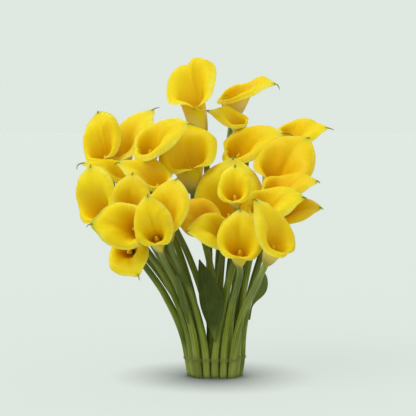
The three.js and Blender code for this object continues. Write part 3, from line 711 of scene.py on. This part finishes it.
def spathe_material(colours):
    """Waxy yellow petal: darker in the throat, partly its own deeper colour and partly painted shade,
    lighter towards the rim with painted light and a painted highlight along the rolled lip, and green where
    it leaves the stem.
    """
    material, tree, shader = new_material(
        "spathe_petal", Roughness=0.45, Specular_IOR_Level=0.14, Subsurface_Weight=0.5,
        Subsurface_Scale=0.005, Subsurface_Radius=(1.0, 0.5, 0.05))
    climb = attribute(tree, "climb")
    marks = streaks(tree, width=0.9, length=40.0, band=16.0, speck=2.0)
    shift = math_node(tree, "MULTIPLY", math_node(tree, "SUBTRACT", marks["Bands"], 0.5), BAND_SHIFT)
    shifted = math_node(tree, "ADD", climb, shift)
    # The inner ramp is darker towards the throat, partly the spathe's own deeper colour and partly painted
    # shade, and lighter towards the rim with painted light on the upper part and a painted highlight along
    # the rolled lip.
    inner = ramp(tree, shifted, (
        (0.0, colours.throat), (0.16, colours.throat), (0.42, colours.petal_shade_and_veins),
        (0.7, colours.petal), (0.93, colours.petal_lit_upper), (1.0, colours.petal_rim_highlight)))
    # The outer ramp ends in the same painted light on the upper part and painted highlight along the lip.
    outer = ramp(tree, shifted, (
        (0.0, colours.tube_green), (0.13, colours.tube_green), (0.36, colours.tube_pale),
        (0.66, colours.petal), (0.92, colours.petal_lit_upper), (1.0, colours.petal_rim_highlight)))
    colour = mix_colours(tree, attribute(tree, "outside"), inner, outer)
    veins = above(tree, marks["Streaks"], start=0.42, gain=2.0)
    colour = mix_colours(tree, veins, colour, rgba(colours.petal_shade_and_veins))
    warm = math_node(tree, "MULTIPLY", attribute(tree, "blush"), marks["Bands"])
    colour = mix_colours(tree, warm, colour, rgba(colours.blush))
    colour = mix_colours(tree, attribute(tree, "green"), colour, rgba(colours.tip_green))
    tree.links.new(colour, shader.inputs["Base Color"])
    bump(tree, shader, marks["Streaks"], strength=0.4, depth=0.7)
    return material


def tail_material(colours):
    """Dull green thread."""
    material, tree, shader = new_material("tail_green", Roughness=0.5, Specular_IOR_Level=0.2)
    marks = streaks(tree, width=0.5, length=12.0, band=6.0, speck=0.6)
    colour = mix_colours(tree, marks["Bands"], rgba(colours.tail), rgba(colours.tip_green))
    tree.links.new(colour, shader.inputs["Base Color"])
    bump(tree, shader, marks["Streaks"], strength=0.3, depth=0.4)
    return material


def spadix_material(colours):
    """Dusty pollen, darker at the foot and in the gaps between the florets."""
    material, tree, shader = new_material(
        "spadix_pollen", Roughness=0.8, Specular_IOR_Level=0.2, Subsurface_Weight=0.3,
        Subsurface_Scale=0.003)
    marks = streaks(tree, width=1.2, length=1.2, band=8.0, speck=0.7)
    colour = mix_colours(tree, attribute(tree, "climb"), rgba(colours.spadix_dark), rgba(colours.spadix))
    gaps = math_node(tree, "MULTIPLY", marks["Specks"], FLORET_GAP_TINT)
    colour = mix_colours(tree, gaps, colour, rgba(colours.spadix_dark))
    tree.links.new(colour, shader.inputs["Base Color"])
    bump(tree, shader, marks["Specks"], strength=0.5, depth=0.6)
    return material


def stem_material(colours):
    """Smooth fleshy skin with light streaks and dark bands, paler at the foot."""
    material, tree, shader = new_material(
        "stem_skin", Roughness=0.36, Specular_IOR_Level=0.12, Subsurface_Weight=0.15,
        Subsurface_Scale=0.003, Subsurface_Radius=(0.5, 1.0, 0.2))
    marks = streaks(tree, width=1.3, length=60.0, band=70.0, speck=0.9)
    colour = ramp(tree, attribute(tree, "height"), (
        (0.0, colours.stem_foot), (0.25, colours.stem), (0.6, colours.stem),
        (0.8, colours.stem_neck), (1.0, colours.tube_green)))
    light = above(tree, marks["Streaks"], start=0.45, gain=2.4)
    colour = mix_colours(tree, light, colour, rgba(colours.stem_streak))
    dark = above(tree, marks["Bands"], start=0.46, gain=2.0)
    colour = mix_colours(tree, dark, colour, rgba(colours.stem_dark))
    colour = mix_colours(tree, attribute(tree, "cut"), colour, rgba(colours.cut))
    tree.links.new(colour, shader.inputs["Base Color"])
    bump(tree, shader, marks["Streaks"], strength=0.35, depth=0.6)
    return material


def leaf_material(colours):
    """Dark blade with lighter bands, a light midrib and margin, a few faint specks, a paler foot, and
    painted light that lightens some blades.
    """
    material, tree, shader = new_material("leaf_blade", Roughness=0.5, Specular_IOR_Level=0.12)
    marks = streaks(tree, width=1.1, length=45.0, band=14.0, speck=1.6)
    colour = mix_colours(tree, marks["Bands"], rgba(colours.leaf), rgba(colours.leaf_light))
    # Painted light lightens a blade as its pale value gives, and its foot is paler in its own colour.
    colour = mix_colours(tree, attribute(tree, "pale"), colour, rgba(colours.leaf_pale_and_lit))
    colour = mix_colours(tree, attribute(tree, "midrib"), colour, rgba(colours.leaf_light))
    specks = math_node(tree, "GREATER_THAN", marks["Specks"], LEAF_SPECK_START)
    faint = math_node(tree, "MULTIPLY", specks, LEAF_SPECK_TINT)
    colour = mix_colours(tree, faint, colour, rgba(colours.leaf_speck))
    tree.links.new(colour, shader.inputs["Base Color"])
    bump(tree, shader, marks["Streaks"], strength=0.4, depth=0.6)
    return material


def twine_material(colours):
    """Rough green plant fibre."""
    material, tree, shader = new_material("twine_fibre", Roughness=0.9, Sheen_Weight=0.3)
    marks = streaks(tree, width=0.25, length=4.0, band=3.0, speck=0.4)
    colour = mix_colours(tree, marks["Streaks"], rgba(colours.twine), rgba(colours.stem))
    tree.links.new(colour, shader.inputs["Base Color"])
    bump(tree, shader, marks["Streaks"], strength=0.6, depth=0.3)
    return material


# Pieces


def build_spathe(flower, material, sizes):
    """The rolled petal of a bloom, which stands for the whole bloom's solid."""
    base, axes = bloom_frame(flower)
    sheet, turn, climb = spathe_sheet(flower, sizes)
    thickness = sizes.petal_thickness / MM * (1 - RIM_THINNING * smoothstep(*THINNING_STRETCH, climb))
    points, faces, at, side = closed_sheet(sheet, thickness)
    turn, climb = turn.ravel()[at], climb.ravel()[at]
    seed = seed_of(flower)
    green_rim, blush = TINTS.get(flower["id"], COMMON_TINTS)
    apex = APEX_TINT * bell(turn, APEX_TINT_WIDTH) * smoothstep(*APEX_TINT_STRETCH, climb)
    places = 0.5 + 0.5 * np.sin(RIM_TINT_TURNS * turn + seed)
    margin = green_rim * places * smoothstep(*RIM_TINT_STRETCH, climb)
    keel = KEEL_TINT * bell(turn, KEEL_WIDTH) * smoothstep(*KEEL_STRETCH, climb) * side
    streak_map = np.stack([
        turn * PETAL_MAP_RADIUS,
        climb * SPATHE_RISE * flower["size"],
        np.full_like(turn, seed * PETAL_MAP_STEP),
    ], 1)
    values = {
        "climb": climb,
        "outside": side,
        "green": np.clip(apex + margin + keel, 0, 1),
        "blush": np.full_like(turn, blush),
        "streak_map": streak_map,
    }
    return make_object(
        "spathe_" + flower["id"], base + points @ axes, faces, material, values,
        ["bloom_" + flower["id"]])


def build_tail(flower, material, sizes):
    """The green thread that the apex of a spathe ends in."""
    base, axes = bloom_frame(flower)
    tip = spathe_points(flower, np.array(0.0), np.array(1.0))
    before = spathe_points(flower, np.array(0.0), np.array(1 - RIM_STEP))
    heading = unit(tip - before)
    length = TAIL_LENGTH * flower.get("tailLength", 1)
    droop = axes @ unit(np.array(flower.get("tail", [0, 0, -1]), float))
    root = tip - heading * TAIL_SINK
    bend = tip + heading * length * TAIL_BEND
    end = bend + droop * length * (1 - TAIL_BEND)
    t = np.linspace(0, 1, sizes.tail_steps + 1)
    line = bow(root, bend, end, t[:, None])
    seed = seed_of(flower)
    back, aside = TAIL_CURLS
    curl = np.stack([np.sin(back * t + seed), np.cos(aside * t), np.zeros_like(t)], 1)
    curl = curl * (TAIL_CURL * t**2)[:, None]
    radii = (
        TAIL_ROOT_RADIUS * TAIL_ROOT_FACTOR * (1 - t) ** TAIL_TAPER + TAIL_TIP_RADIUS * TAIL_TIP_FACTOR * t
    )
    points, faces, angles, along = tube(line + curl, radii, TAIL_SIDES, facing=(0.0, 1.0, 0.0))
    return make_object(
        "tail_" + flower["id"], base + points @ axes, faces, material,
        {"streak_map": round_map(angles, THREAD_MAP_RADIUS, along, seed)})


def build_spadix(flower, material, sizes):
    """The club in the throat of a bloom, covered in florets that wind up it both ways."""
    base, axes = bloom_frame(flower)
    reach = SPADIX_LENGTH * flower["size"]
    radius = SPADIX_RADIUS * math.sqrt(flower["size"])
    share = np.linspace(0, 1, sizes.spadix_rows + 1)
    height = reach * share
    swell = SPADIX_FOOT + (1 - SPADIX_FOOT) * smoothstep(*SPADIX_SWELL, share)
    profile = radius * swell * np.sqrt(np.clip(1 - share**SPADIX_ROUNDING, SPADIX_TIP, 1))
    around = FLORETS_ROUND * turn_angles(sizes.spadix_sides)[None, :]
    winding = FLORET_PHASE * height[:, None]
    lattice = np.sin(around + winding) * np.sin(around - winding)
    wobble = FLORET_HEIGHT * lattice * smoothstep(*FLORET_STRETCH, share)[:, None]
    line = np.stack([np.zeros_like(height), np.zeros_like(height), height], 1)
    points, faces, angles, along = tube(line, profile, sizes.spadix_sides, wobble=wobble)
    return make_object(
        "spadix_" + flower["id"], base + points @ axes, faces, material,
        {"climb": along / reach, "streak_map": round_map(angles, radius, along, seed_of(flower))})


def stem_rings(node):
    """Ring centres of a stem's solid, from its cut end up. Corners closer than the gap between two
    rings belong to one ring, and each ring's next one is the nearest that is left."""
    places = [list(v.co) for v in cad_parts[node].data.vertices]
    corners = np.unique(np.round(places, CORNER_DECIMALS), axis=0) / MM
    near = FOOT_RADIUS * RING_GAP
    rings = []
    left = list(range(len(corners)))
    while left:
        ring = [left.pop(0)]
        for member in ring:
            close = [k for k in left if np.linalg.norm(corners[k] - corners[member]) < near]
            left = [k for k in left if k not in close]
            ring.extend(close)
        rings.append(corners[ring].mean(0))
    rings.sort(key=lambda centre: centre[2])
    line = [rings.pop(0)]
    while rings:
        nearest = min(range(len(rings)), key=lambda k: np.linalg.norm(rings[k] - line[-1]))
        line.append(rings.pop(nearest))
    return np.array(line)


def build_stem(flower, material, sizes):
    """A ribbed stem from its level cut end, along its solid, into the root of its bloom."""
    node = "stem_" + flower["id"]
    base, axes = bloom_frame(flower)
    top = base + axes[2] * STEM_TOP
    line = smooth_line(np.vstack([stem_rings(node), top]), sizes.stem_step / MM)
    lengths = lengths_along(line)
    share = lengths / lengths[-1]
    seed = seed_of(flower)
    radii = FOOT_RADIUS + (NECK_RADIUS - NECK_SLIMMING - FOOT_RADIUS) * share
    radii = radii * (1 + STEM_SWELL * np.sin(STEM_SWELLS * share + seed))
    radii[0] *= CUT_RADIUS
    line[1] = line[0] + (line[1] - line[0]) * CUT_BEVEL
    sides = sizes.stem_sides
    ribs = ripples(turn_angles(sides), seed, STEM_RIBS)[None, :]
    points, faces, angles, along = tube(line, radii, sides, wobble=ribs)
    # The cut end lies level on the floor, however the stem leans
    points[:, 2] = np.maximum(points[:, 2], 0)
    # The lowest ring and the middle of the lower end show the cut
    cut = np.zeros(len(points))
    cut[:sides] = CUT_RIM_TINT
    cut[-2] = 1.0
    values = {
        "height": along / lengths[-1],
        "cut": cut,
        "streak_map": round_map(angles, FOOT_RADIUS, along, seed * STEM_MAP_STEP),
    }
    return make_object(node + "_skin", points, faces, material, values, [node])


def leaf_spine(leaf, sizes, t):
    """Points along the middle of a leaf, from its root beside the stem to its tip, and the distance
    between the two."""
    rings = stem_rings("stem_" + leaf["stem"])
    outward = unit(np.array([*leaf["side"], 0.0]))
    radius = FOOT_RADIUS + (NECK_RADIUS - FOOT_RADIUS) * leaf["level"] / (len(rings) - 1)
    root_depth = LEAF_ROOT_WIDTH * abs(outward[0]) + LEAF_THICKNESS * abs(outward[1])
    reach = radius + LEAF_SEAT_GAP + root_depth / 2
    root = rings[leaf["level"]] + outward * reach
    spine = bow(root, np.array(leaf["middle"], float), np.array(leaf["tip"], float), t)
    stem = smooth_line(rings, sizes.stem_step / MM)
    beside = [np.interp(spine[:, 2], stem[:, 2], stem[:, k]) + outward[k] * reach for k in (0, 1)]
    hug = leaf.get("hug", 0) * (1 - smoothstep(*HUG_STRETCH, t))
    spine[:, :2] += (np.stack(beside, 1) - spine[:, :2]) * hug
    return spine, np.linalg.norm(np.array(leaf["tip"]) - root)


def build_leaf(leaf, material, sizes):
    """A leaf blade, folded along its midrib and waved along its margins."""
    u = np.linspace(-1, 1, sizes.leaf_columns + 1)[:, None]
    v = np.linspace(0, 1, sizes.leaf_rows + 1)[None, :]
    spine, length = leaf_spine(leaf, sizes, v.T)
    along = unit(np.gradient(spine, axis=0))
    sideways = unit(np.cross(along, FRONT))
    normal = np.cross(sideways, along)
    narrowing = np.maximum(1 - v**3, LEAF_TIP) ** leaf["taper"]
    blade = smoothstep(*leaf.get("swell", LEAF_SWELL), v) * narrowing
    half = 0.5 * (LEAF_ROOT_WIDTH * (1 - v) + leaf["width"] * blade) * (1 + leaf.get("lean", 0) * u)
    up, across = LEAF_WAVES
    wave = LEAF_WAVE * np.sin(up * v + across * u) * u**2 * smoothstep(*LEAF_WAVE_STRETCH, v)
    lift = LEAF_GUTTER * half * np.abs(u) ** LEAF_GUTTER_POWER + wave
    points = spine[None] + sideways[None] * (u * half)[..., None] + normal[None] * lift[..., None]
    all_points, faces, at, _ = closed_sheet(points, LEAF_THICKNESS)
    grid = lift.shape
    off_middle = (u * half).ravel()[at]
    run = np.broadcast_to(v, grid).ravel()[at]
    edge = smoothstep(LEAF_EDGE_START, 1.0, np.abs(np.broadcast_to(u, grid)).ravel()[at])
    foot = LEAF_FOOT_TINT * (1 - smoothstep(*LEAF_FOOT_STRETCH, run))
    shift = np.full_like(run, LEAF_MAP_STEP * int(leaf["id"]))
    values = {
        # The larger of the blade's painted light and its paler foot.
        "pale": np.maximum(leaf.get("pale", 0), foot),
        "midrib": np.maximum(MIDRIB_TINT * bell(off_middle, MIDRIB_WIDTH), LEAF_EDGE_TINT * edge),
        "streak_map": np.stack([off_middle, run * length, shift], 1),
    }
    return make_object(
        "leaf_blade_" + leaf["id"], all_points, faces, material, values, ["leaf_" + leaf["id"]])


def tie_line(sizes):
    """Centre line of the twine: turns round all the round stems at the tie's level."""
    centres = np.array([stem_rings("stem_" + flower["id"])[TIE_LEVEL] for flower in FLOWERS])
    reach = FOOT_RADIUS + TIE_GAP + TIE_RADIUS
    line = []
    for i in range(TIE_TURNS * sizes.tie_steps + 1):
        turns = i / sizes.tie_steps
        angle = TIE_START + 2 * math.pi * turns
        direction = np.array([math.cos(angle), math.sin(angle), 0])
        rise = np.array([0, 0, (turns - TIE_TURNS / 2) * TIE_PITCH])
        line.append(centres[np.argmax(centres @ direction)] + direction * reach + rise)
    return np.array(line)


def build_twine(material, sizes):
    """Twisted plies along the tie's centre line, in one piece."""
    line = smooth_line(tie_line(sizes), sizes.twine_step / MM)
    tangent = unit(np.gradient(line, axis=0))
    up = np.array([0.0, 0.0, 1.0])
    normal = unit(up - tangent * (tangent @ up)[:, None])
    binormal = np.cross(tangent, normal)
    twist = 2 * math.pi * lengths_along(line) / (sizes.twine_lay / MM)
    points, faces, maps = [], [], []
    for ply in range(TWINE_PLIES):
        angle = twist + 2 * math.pi * ply / TWINE_PLIES
        aside = normal * np.cos(angle)[:, None] + binormal * np.sin(angle)[:, None]
        strand = line + aside * TIE_RADIUS * (1 - PLY_SHARE)
        part, part_faces, angles, along = tube(strand, TIE_RADIUS * PLY_SHARE, PLY_SIDES, facing=up)
        start = ply * len(part)
        faces.extend(tuple(k + start for k in face) for face in part_faces)
        points.append(part)
        maps.append(round_map(angles, THREAD_MAP_RADIUS, along, ply * PLY_MAP_STEP))
    return make_object(
        "twine_strands", np.vstack(points), faces, material, {"streak_map": np.vstack(maps)},
        ["twine_tie"])


# Stage


def build_floor(colours):
    """Pale paper on which the bouquet stands. It glows a little and evenly, and a painted shadow darkens it
    round the foot.
    """
    reach = FLOOR_HALF_WIDTH
    points = [(-reach, -reach, 0.0), (reach, -reach, 0.0), (reach, reach, 0.0), (-reach, reach, 0.0)]
    mesh = bpy.data.meshes.new("floor")
    mesh.from_pydata((np.array(points) * MM).tolist(), [], [(0, 1, 2, 3)])
    material, tree, shader = new_material(
        "studio_paper", Roughness=0.9, Specular_IOR_Level=0.1, Emission_Strength=1.0)
    place = add_node(tree, "ShaderNodeNewGeometry").outputs["Position"]
    noise = add_node(tree, "ShaderNodeTexNoise", {"Vector": place, "Scale": 3.0, "Detail": 2.0})
    # Painted shadow: ambient occlusion near the bouquet's foot darkens the paper's colour and its glow.
    occlusion = add_node(tree, "ShaderNodeAmbientOcclusion", {"Distance": FOOT_SHADE_REACH * MM})
    shade = math_node(tree, "POWER", occlusion.outputs["AO"], FOOT_SHADE_DEPTH)
    paper = [c * FLOOR_SHARE * (1 - FLOOR_GLOW) for c in colours.paper]
    paler = [c * PAPER_GRAIN for c in paper]
    lit = mix_colours(tree, noise.outputs["Fac"], rgba(paper), rgba(paler))
    glow = rgba([c * FLOOR_GLOW for c in colours.room])
    black = (0.0, 0.0, 0.0, 1.0)
    # The painted shadow round the foot darkens both the lit paper and the glow.
    tree.links.new(mix_colours(tree, shade, black, lit), shader.inputs["Base Color"])
    tree.links.new(mix_colours(tree, shade, black, glow), shader.inputs["Emission Color"])
    mesh.materials.append(material)
    floor = bpy.data.objects.new("floor", mesh)
    bpy.context.scene.collection.objects.link(floor)


def build_lights(colours):
    """Even light from the room all round, and one far soft light."""
    world = bpy.data.worlds.new("studio_air")
    world.use_nodes = True
    world.node_tree.nodes["Background"].inputs["Color"].default_value = rgba(colours.room)
    bpy.context.scene.world = world
    light = bpy.data.lights.new("key_light", "SUN")
    light.energy = KEY_STRENGTH
    light.angle = math.radians(KEY_SOFTNESS)
    lamp = bpy.data.objects.new("key_light", light)
    lamp.location = KEY_PLACE
    lamp.rotation_euler = (-Vector(KEY_PLACE)).to_track_quat("-Z", "Y").to_euler()
    bpy.context.scene.collection.objects.link(lamp)


def build_camera():
    """Camera at the photograph's viewing angle, whose frame is as wide as the photograph."""
    data = bpy.data.cameras.new("camera")
    data.sensor_width = SENSOR_WIDTH
    data.lens = SENSOR_WIDTH * CAMERA_DISTANCE / (PHOTO_WIDTH * PIXEL_SIZE)
    data.clip_end = VIEW_RANGE
    camera = bpy.data.objects.new("camera", data)
    towards = np.array([0.0, -math.cos(CAMERA_RISE), math.sin(CAMERA_RISE)])
    eye = (CAMERA_TARGET + towards * CAMERA_DISTANCE) * MM
    camera.location = eye.tolist()
    camera.rotation_euler = Vector((-towards).tolist()).to_track_quat("-Z", "Y").to_euler()
    bpy.context.scene.collection.objects.link(camera)
    bpy.context.scene.camera = camera


# Settings that a user would change


def count_property(name, description, default, least):
    """How many faces or points something has."""
    return bpy.props.IntProperty(name=name, description=description, default=default, min=least)


def length_property(name, description, millimetres, least=0.0):
    """A length, given here in millimetres and held in metres, as the scene's own lengths are."""
    return bpy.props.FloatProperty(
        name=name, description=description, default=millimetres * MM, min=least * MM, precision=5,
        unit="LENGTH")


def colour_property(name, description, default):
    """A colour in linear light."""
    return bpy.props.FloatVectorProperty(
        name=name, description=description, default=default, subtype="COLOR", size=3, min=0.0, max=1.0)


class BouquetSizes(bpy.types.PropertyGroup):
    """Fineness and thickness of the pieces"""

    spathe_columns: count_property("Spathe columns", "Faces round a spathe", 96, 12)
    spathe_rows: count_property("Spathe rows", "Faces from the joint to the rim", 32, 6)
    petal_thickness: length_property("Petal thickness", "Thickness of a spathe at its joint", 0.9, 0.3)
    lip_roll: length_property("Lip roll", "How far the rim rolls outward", 2.6)
    fold_depth: length_property("Fold depth", "Depth of the soft folds along a spathe", 0.65)
    rim_wave: length_property("Rim wave", "Height of the slow waves of the rim", 1.5)
    tail_steps: count_property("Tail steps", "Faces along a tail", 18, 4)
    spadix_rows: count_property("Spadix rows", "Faces along a spadix", 72, 8)
    spadix_sides: count_property("Spadix sides", "Faces round a spadix", 48, 8)
    stem_sides: count_property("Stem sides", "Faces round a stem", 28, 6)
    stem_step: length_property("Stem step", "Length of a stem's faces", 4.0, 1.0)
    leaf_columns: count_property("Leaf columns", "Faces across a leaf", 24, 4)
    leaf_rows: count_property("Leaf rows", "Faces along a leaf", 60, 8)
    tie_steps: count_property("Tie steps", "Points in one turn of twine", 36, 12)
    twine_step: length_property("Twine step", "Length of the twine's faces", 0.9, 0.3)
    twine_lay: length_property("Twine lay", "Length of one twist of the twine", 5.5, 1.0)


class BouquetColours(bpy.types.PropertyGroup):
    """Colours of the plant, the twine and the room"""

    # Throat: partly the spathe's deeper colour there, and partly painted shade.
    throat: colour_property("Throat", "Deep inside of a spathe", (0.74, 0.46, 0.005))
    # Painted shade of a spathe's deeper part, and also the colour of its veins.
    petal_shade_and_veins: colour_property("Deep petal", "Shaded part and veins of a spathe", (0.81, 0.50, 0.003))
    petal: colour_property("Petal", "Middle of a spathe", (0.87, 0.57, 0.003))
    # Painted light on the upper part of a spathe.
    petal_lit_upper: colour_property("Bright petal", "Upper part of a spathe", (0.88, 0.605, 0.005))
    # Painted highlight along a spathe's rolled lip.
    petal_rim_highlight: colour_property("Petal rim", "Rolled lip of a spathe", (0.90, 0.72, 0.09))
    tube_green: colour_property("Green tube", "Outside of a spathe at the stem", (0.20, 0.25, 0.05))
    tube_pale: colour_property("Pale tube", "Outside of a spathe's tube", (0.66, 0.52, 0.12))
    tip_green: colour_property("Green tip", "Point and keel of a spathe", (0.40, 0.41, 0.025))
    blush: colour_property("Blush", "Orange shade that some spathes have", (0.82, 0.36, 0.003))
    tail: colour_property("Tail", "Thread that the point ends in", (0.085, 0.11, 0.012))
    spadix: colour_property("Spadix", "Top of a spadix", (0.90, 0.60, 0.03))
    spadix_dark: colour_property("Dark spadix", "Foot and gaps of a spadix", (0.74, 0.43, 0.012))
    stem_foot: colour_property("Stem foot", "Lowest part of a stem", (0.255, 0.285, 0.050))
    stem: colour_property("Stem", "Middle of a stem", (0.155, 0.200, 0.014))
    stem_neck: colour_property("Stem neck", "Stem under the bloom", (0.12, 0.16, 0.035))
    stem_streak: colour_property("Stem streaks", "Light lines along a stem", (0.46, 0.49, 0.14))
    stem_dark: colour_property("Dark stem", "Dark bands of a stem", (0.020, 0.052, 0.001))
    cut: colour_property("Cut end", "Cut face of a stem", (0.45, 0.50, 0.22))
    leaf: colour_property("Leaf", "Blade of a leaf", (0.028, 0.042, 0.003))
    leaf_light: colour_property("Light leaf", "Light bands and midrib of a leaf", (0.068, 0.092, 0.012))
    # Painted light on a leaf blade, and the paler colour of a leaf's foot.
    leaf_pale_and_lit: colour_property("Pale leaf", "Blade of a leaf in the light", (0.19, 0.24, 0.055))
    leaf_speck: colour_property("Leaf specks", "Faint pale specks of a leaf", (0.30, 0.36, 0.25))
    twine: colour_property("Twine", "Fibre of the twine", (0.22, 0.25, 0.04))
    room: colour_property("Room", "Backdrop and ambient light", (0.738, 0.807, 0.752))
    paper: colour_property("Paper", "Floor", (0.969, 1.0, 0.975))


# Operators


def settings():
    """The scene's colours and sizes."""
    scene = bpy.context.scene
    return scene.bouquet_colours, scene.bouquet_sizes


class BOUQUET_OT_blooms(bpy.types.Operator):
    """Build each bloom's spathe, with the tail of its apex and its spadix"""

    bl_idname = "bouquet.blooms"
    bl_label = "Blooms"

    def execute(self, context):
        colours, sizes = settings()
        petal = spathe_material(colours)
        tail = tail_material(colours)
        spadix = spadix_material(colours)
        for flower in FLOWERS:
            build_spathe(flower, petal, sizes)
            build_tail(flower, tail, sizes)
            build_spadix(flower, spadix, sizes)
        return {"FINISHED"}


class BOUQUET_OT_stems(bpy.types.Operator):
    """Build the smooth stems along the centre lines of their solids"""

    bl_idname = "bouquet.stems"
    bl_label = "Stems"

    def execute(self, context):
        colours, sizes = settings()
        skin = stem_material(colours)
        for flower in FLOWERS:
            build_stem(flower, skin, sizes)
        return {"FINISHED"}


class BOUQUET_OT_leaves(bpy.types.Operator):
    """Build the leaf blades among the stems"""

    bl_idname = "bouquet.leaves"
    bl_label = "Leaves"

    def execute(self, context):
        colours, sizes = settings()
        blade = leaf_material(colours)
        for leaf in LEAVES:
            build_leaf(leaf, blade, sizes)
        return {"FINISHED"}


class BOUQUET_OT_twine(bpy.types.Operator):
    """Build the twisted twine that holds the bundle"""

    bl_idname = "bouquet.twine"
    bl_label = "Twine"

    def execute(self, context):
        colours, sizes = settings()
        build_twine(twine_material(colours), sizes)
        return {"FINISHED"}


class BOUQUET_OT_stage(bpy.types.Operator):
    """Set up the floor, the soft lights and the camera"""

    bl_idname = "bouquet.stage"
    bl_label = "Stage"

    def execute(self, context):
        colours, _ = settings()
        build_floor(colours)
        build_lights(colours)
        build_camera()
        context.scene.view_settings.view_transform = "Standard"
        return {"FINISHED"}


# Sidebar and registration


class BOUQUET_PT_panel(bpy.types.Panel):
    """Lists the steps that build the bouquet"""

    bl_idname = "BOUQUET_PT_panel"
    bl_label = "Calla lily bouquet"
    bl_space_type = "VIEW_3D"
    bl_region_type = "UI"
    bl_category = "Bouquet"

    def draw(self, context):
        for operator in OPERATORS:
            self.layout.operator(operator.bl_idname)


OPERATORS = (BOUQUET_OT_blooms, BOUQUET_OT_stems, BOUQUET_OT_leaves, BOUQUET_OT_twine, BOUQUET_OT_stage)
CLASSES = (BouquetSizes, BouquetColours, *OPERATORS, BOUQUET_PT_panel)


def register():
    for cls in CLASSES:
        bpy.utils.register_class(cls)
    bpy.types.Scene.bouquet_sizes = bpy.props.PointerProperty(type=BouquetSizes)
    bpy.types.Scene.bouquet_colours = bpy.props.PointerProperty(type=BouquetColours)


def unregister():
    del bpy.types.Scene.bouquet_colours
    del bpy.types.Scene.bouquet_sizes
    for cls in reversed(CLASSES):
        bpy.utils.unregister_class(cls)


def main():
    """Registers the classes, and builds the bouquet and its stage."""
    register()
    bpy.ops.bouquet.blooms()
    bpy.ops.bouquet.stems()
    bpy.ops.bouquet.leaves()
    bpy.ops.bouquet.twine()
    bpy.ops.bouquet.stage()


if __name__ == "__main__":
    main()
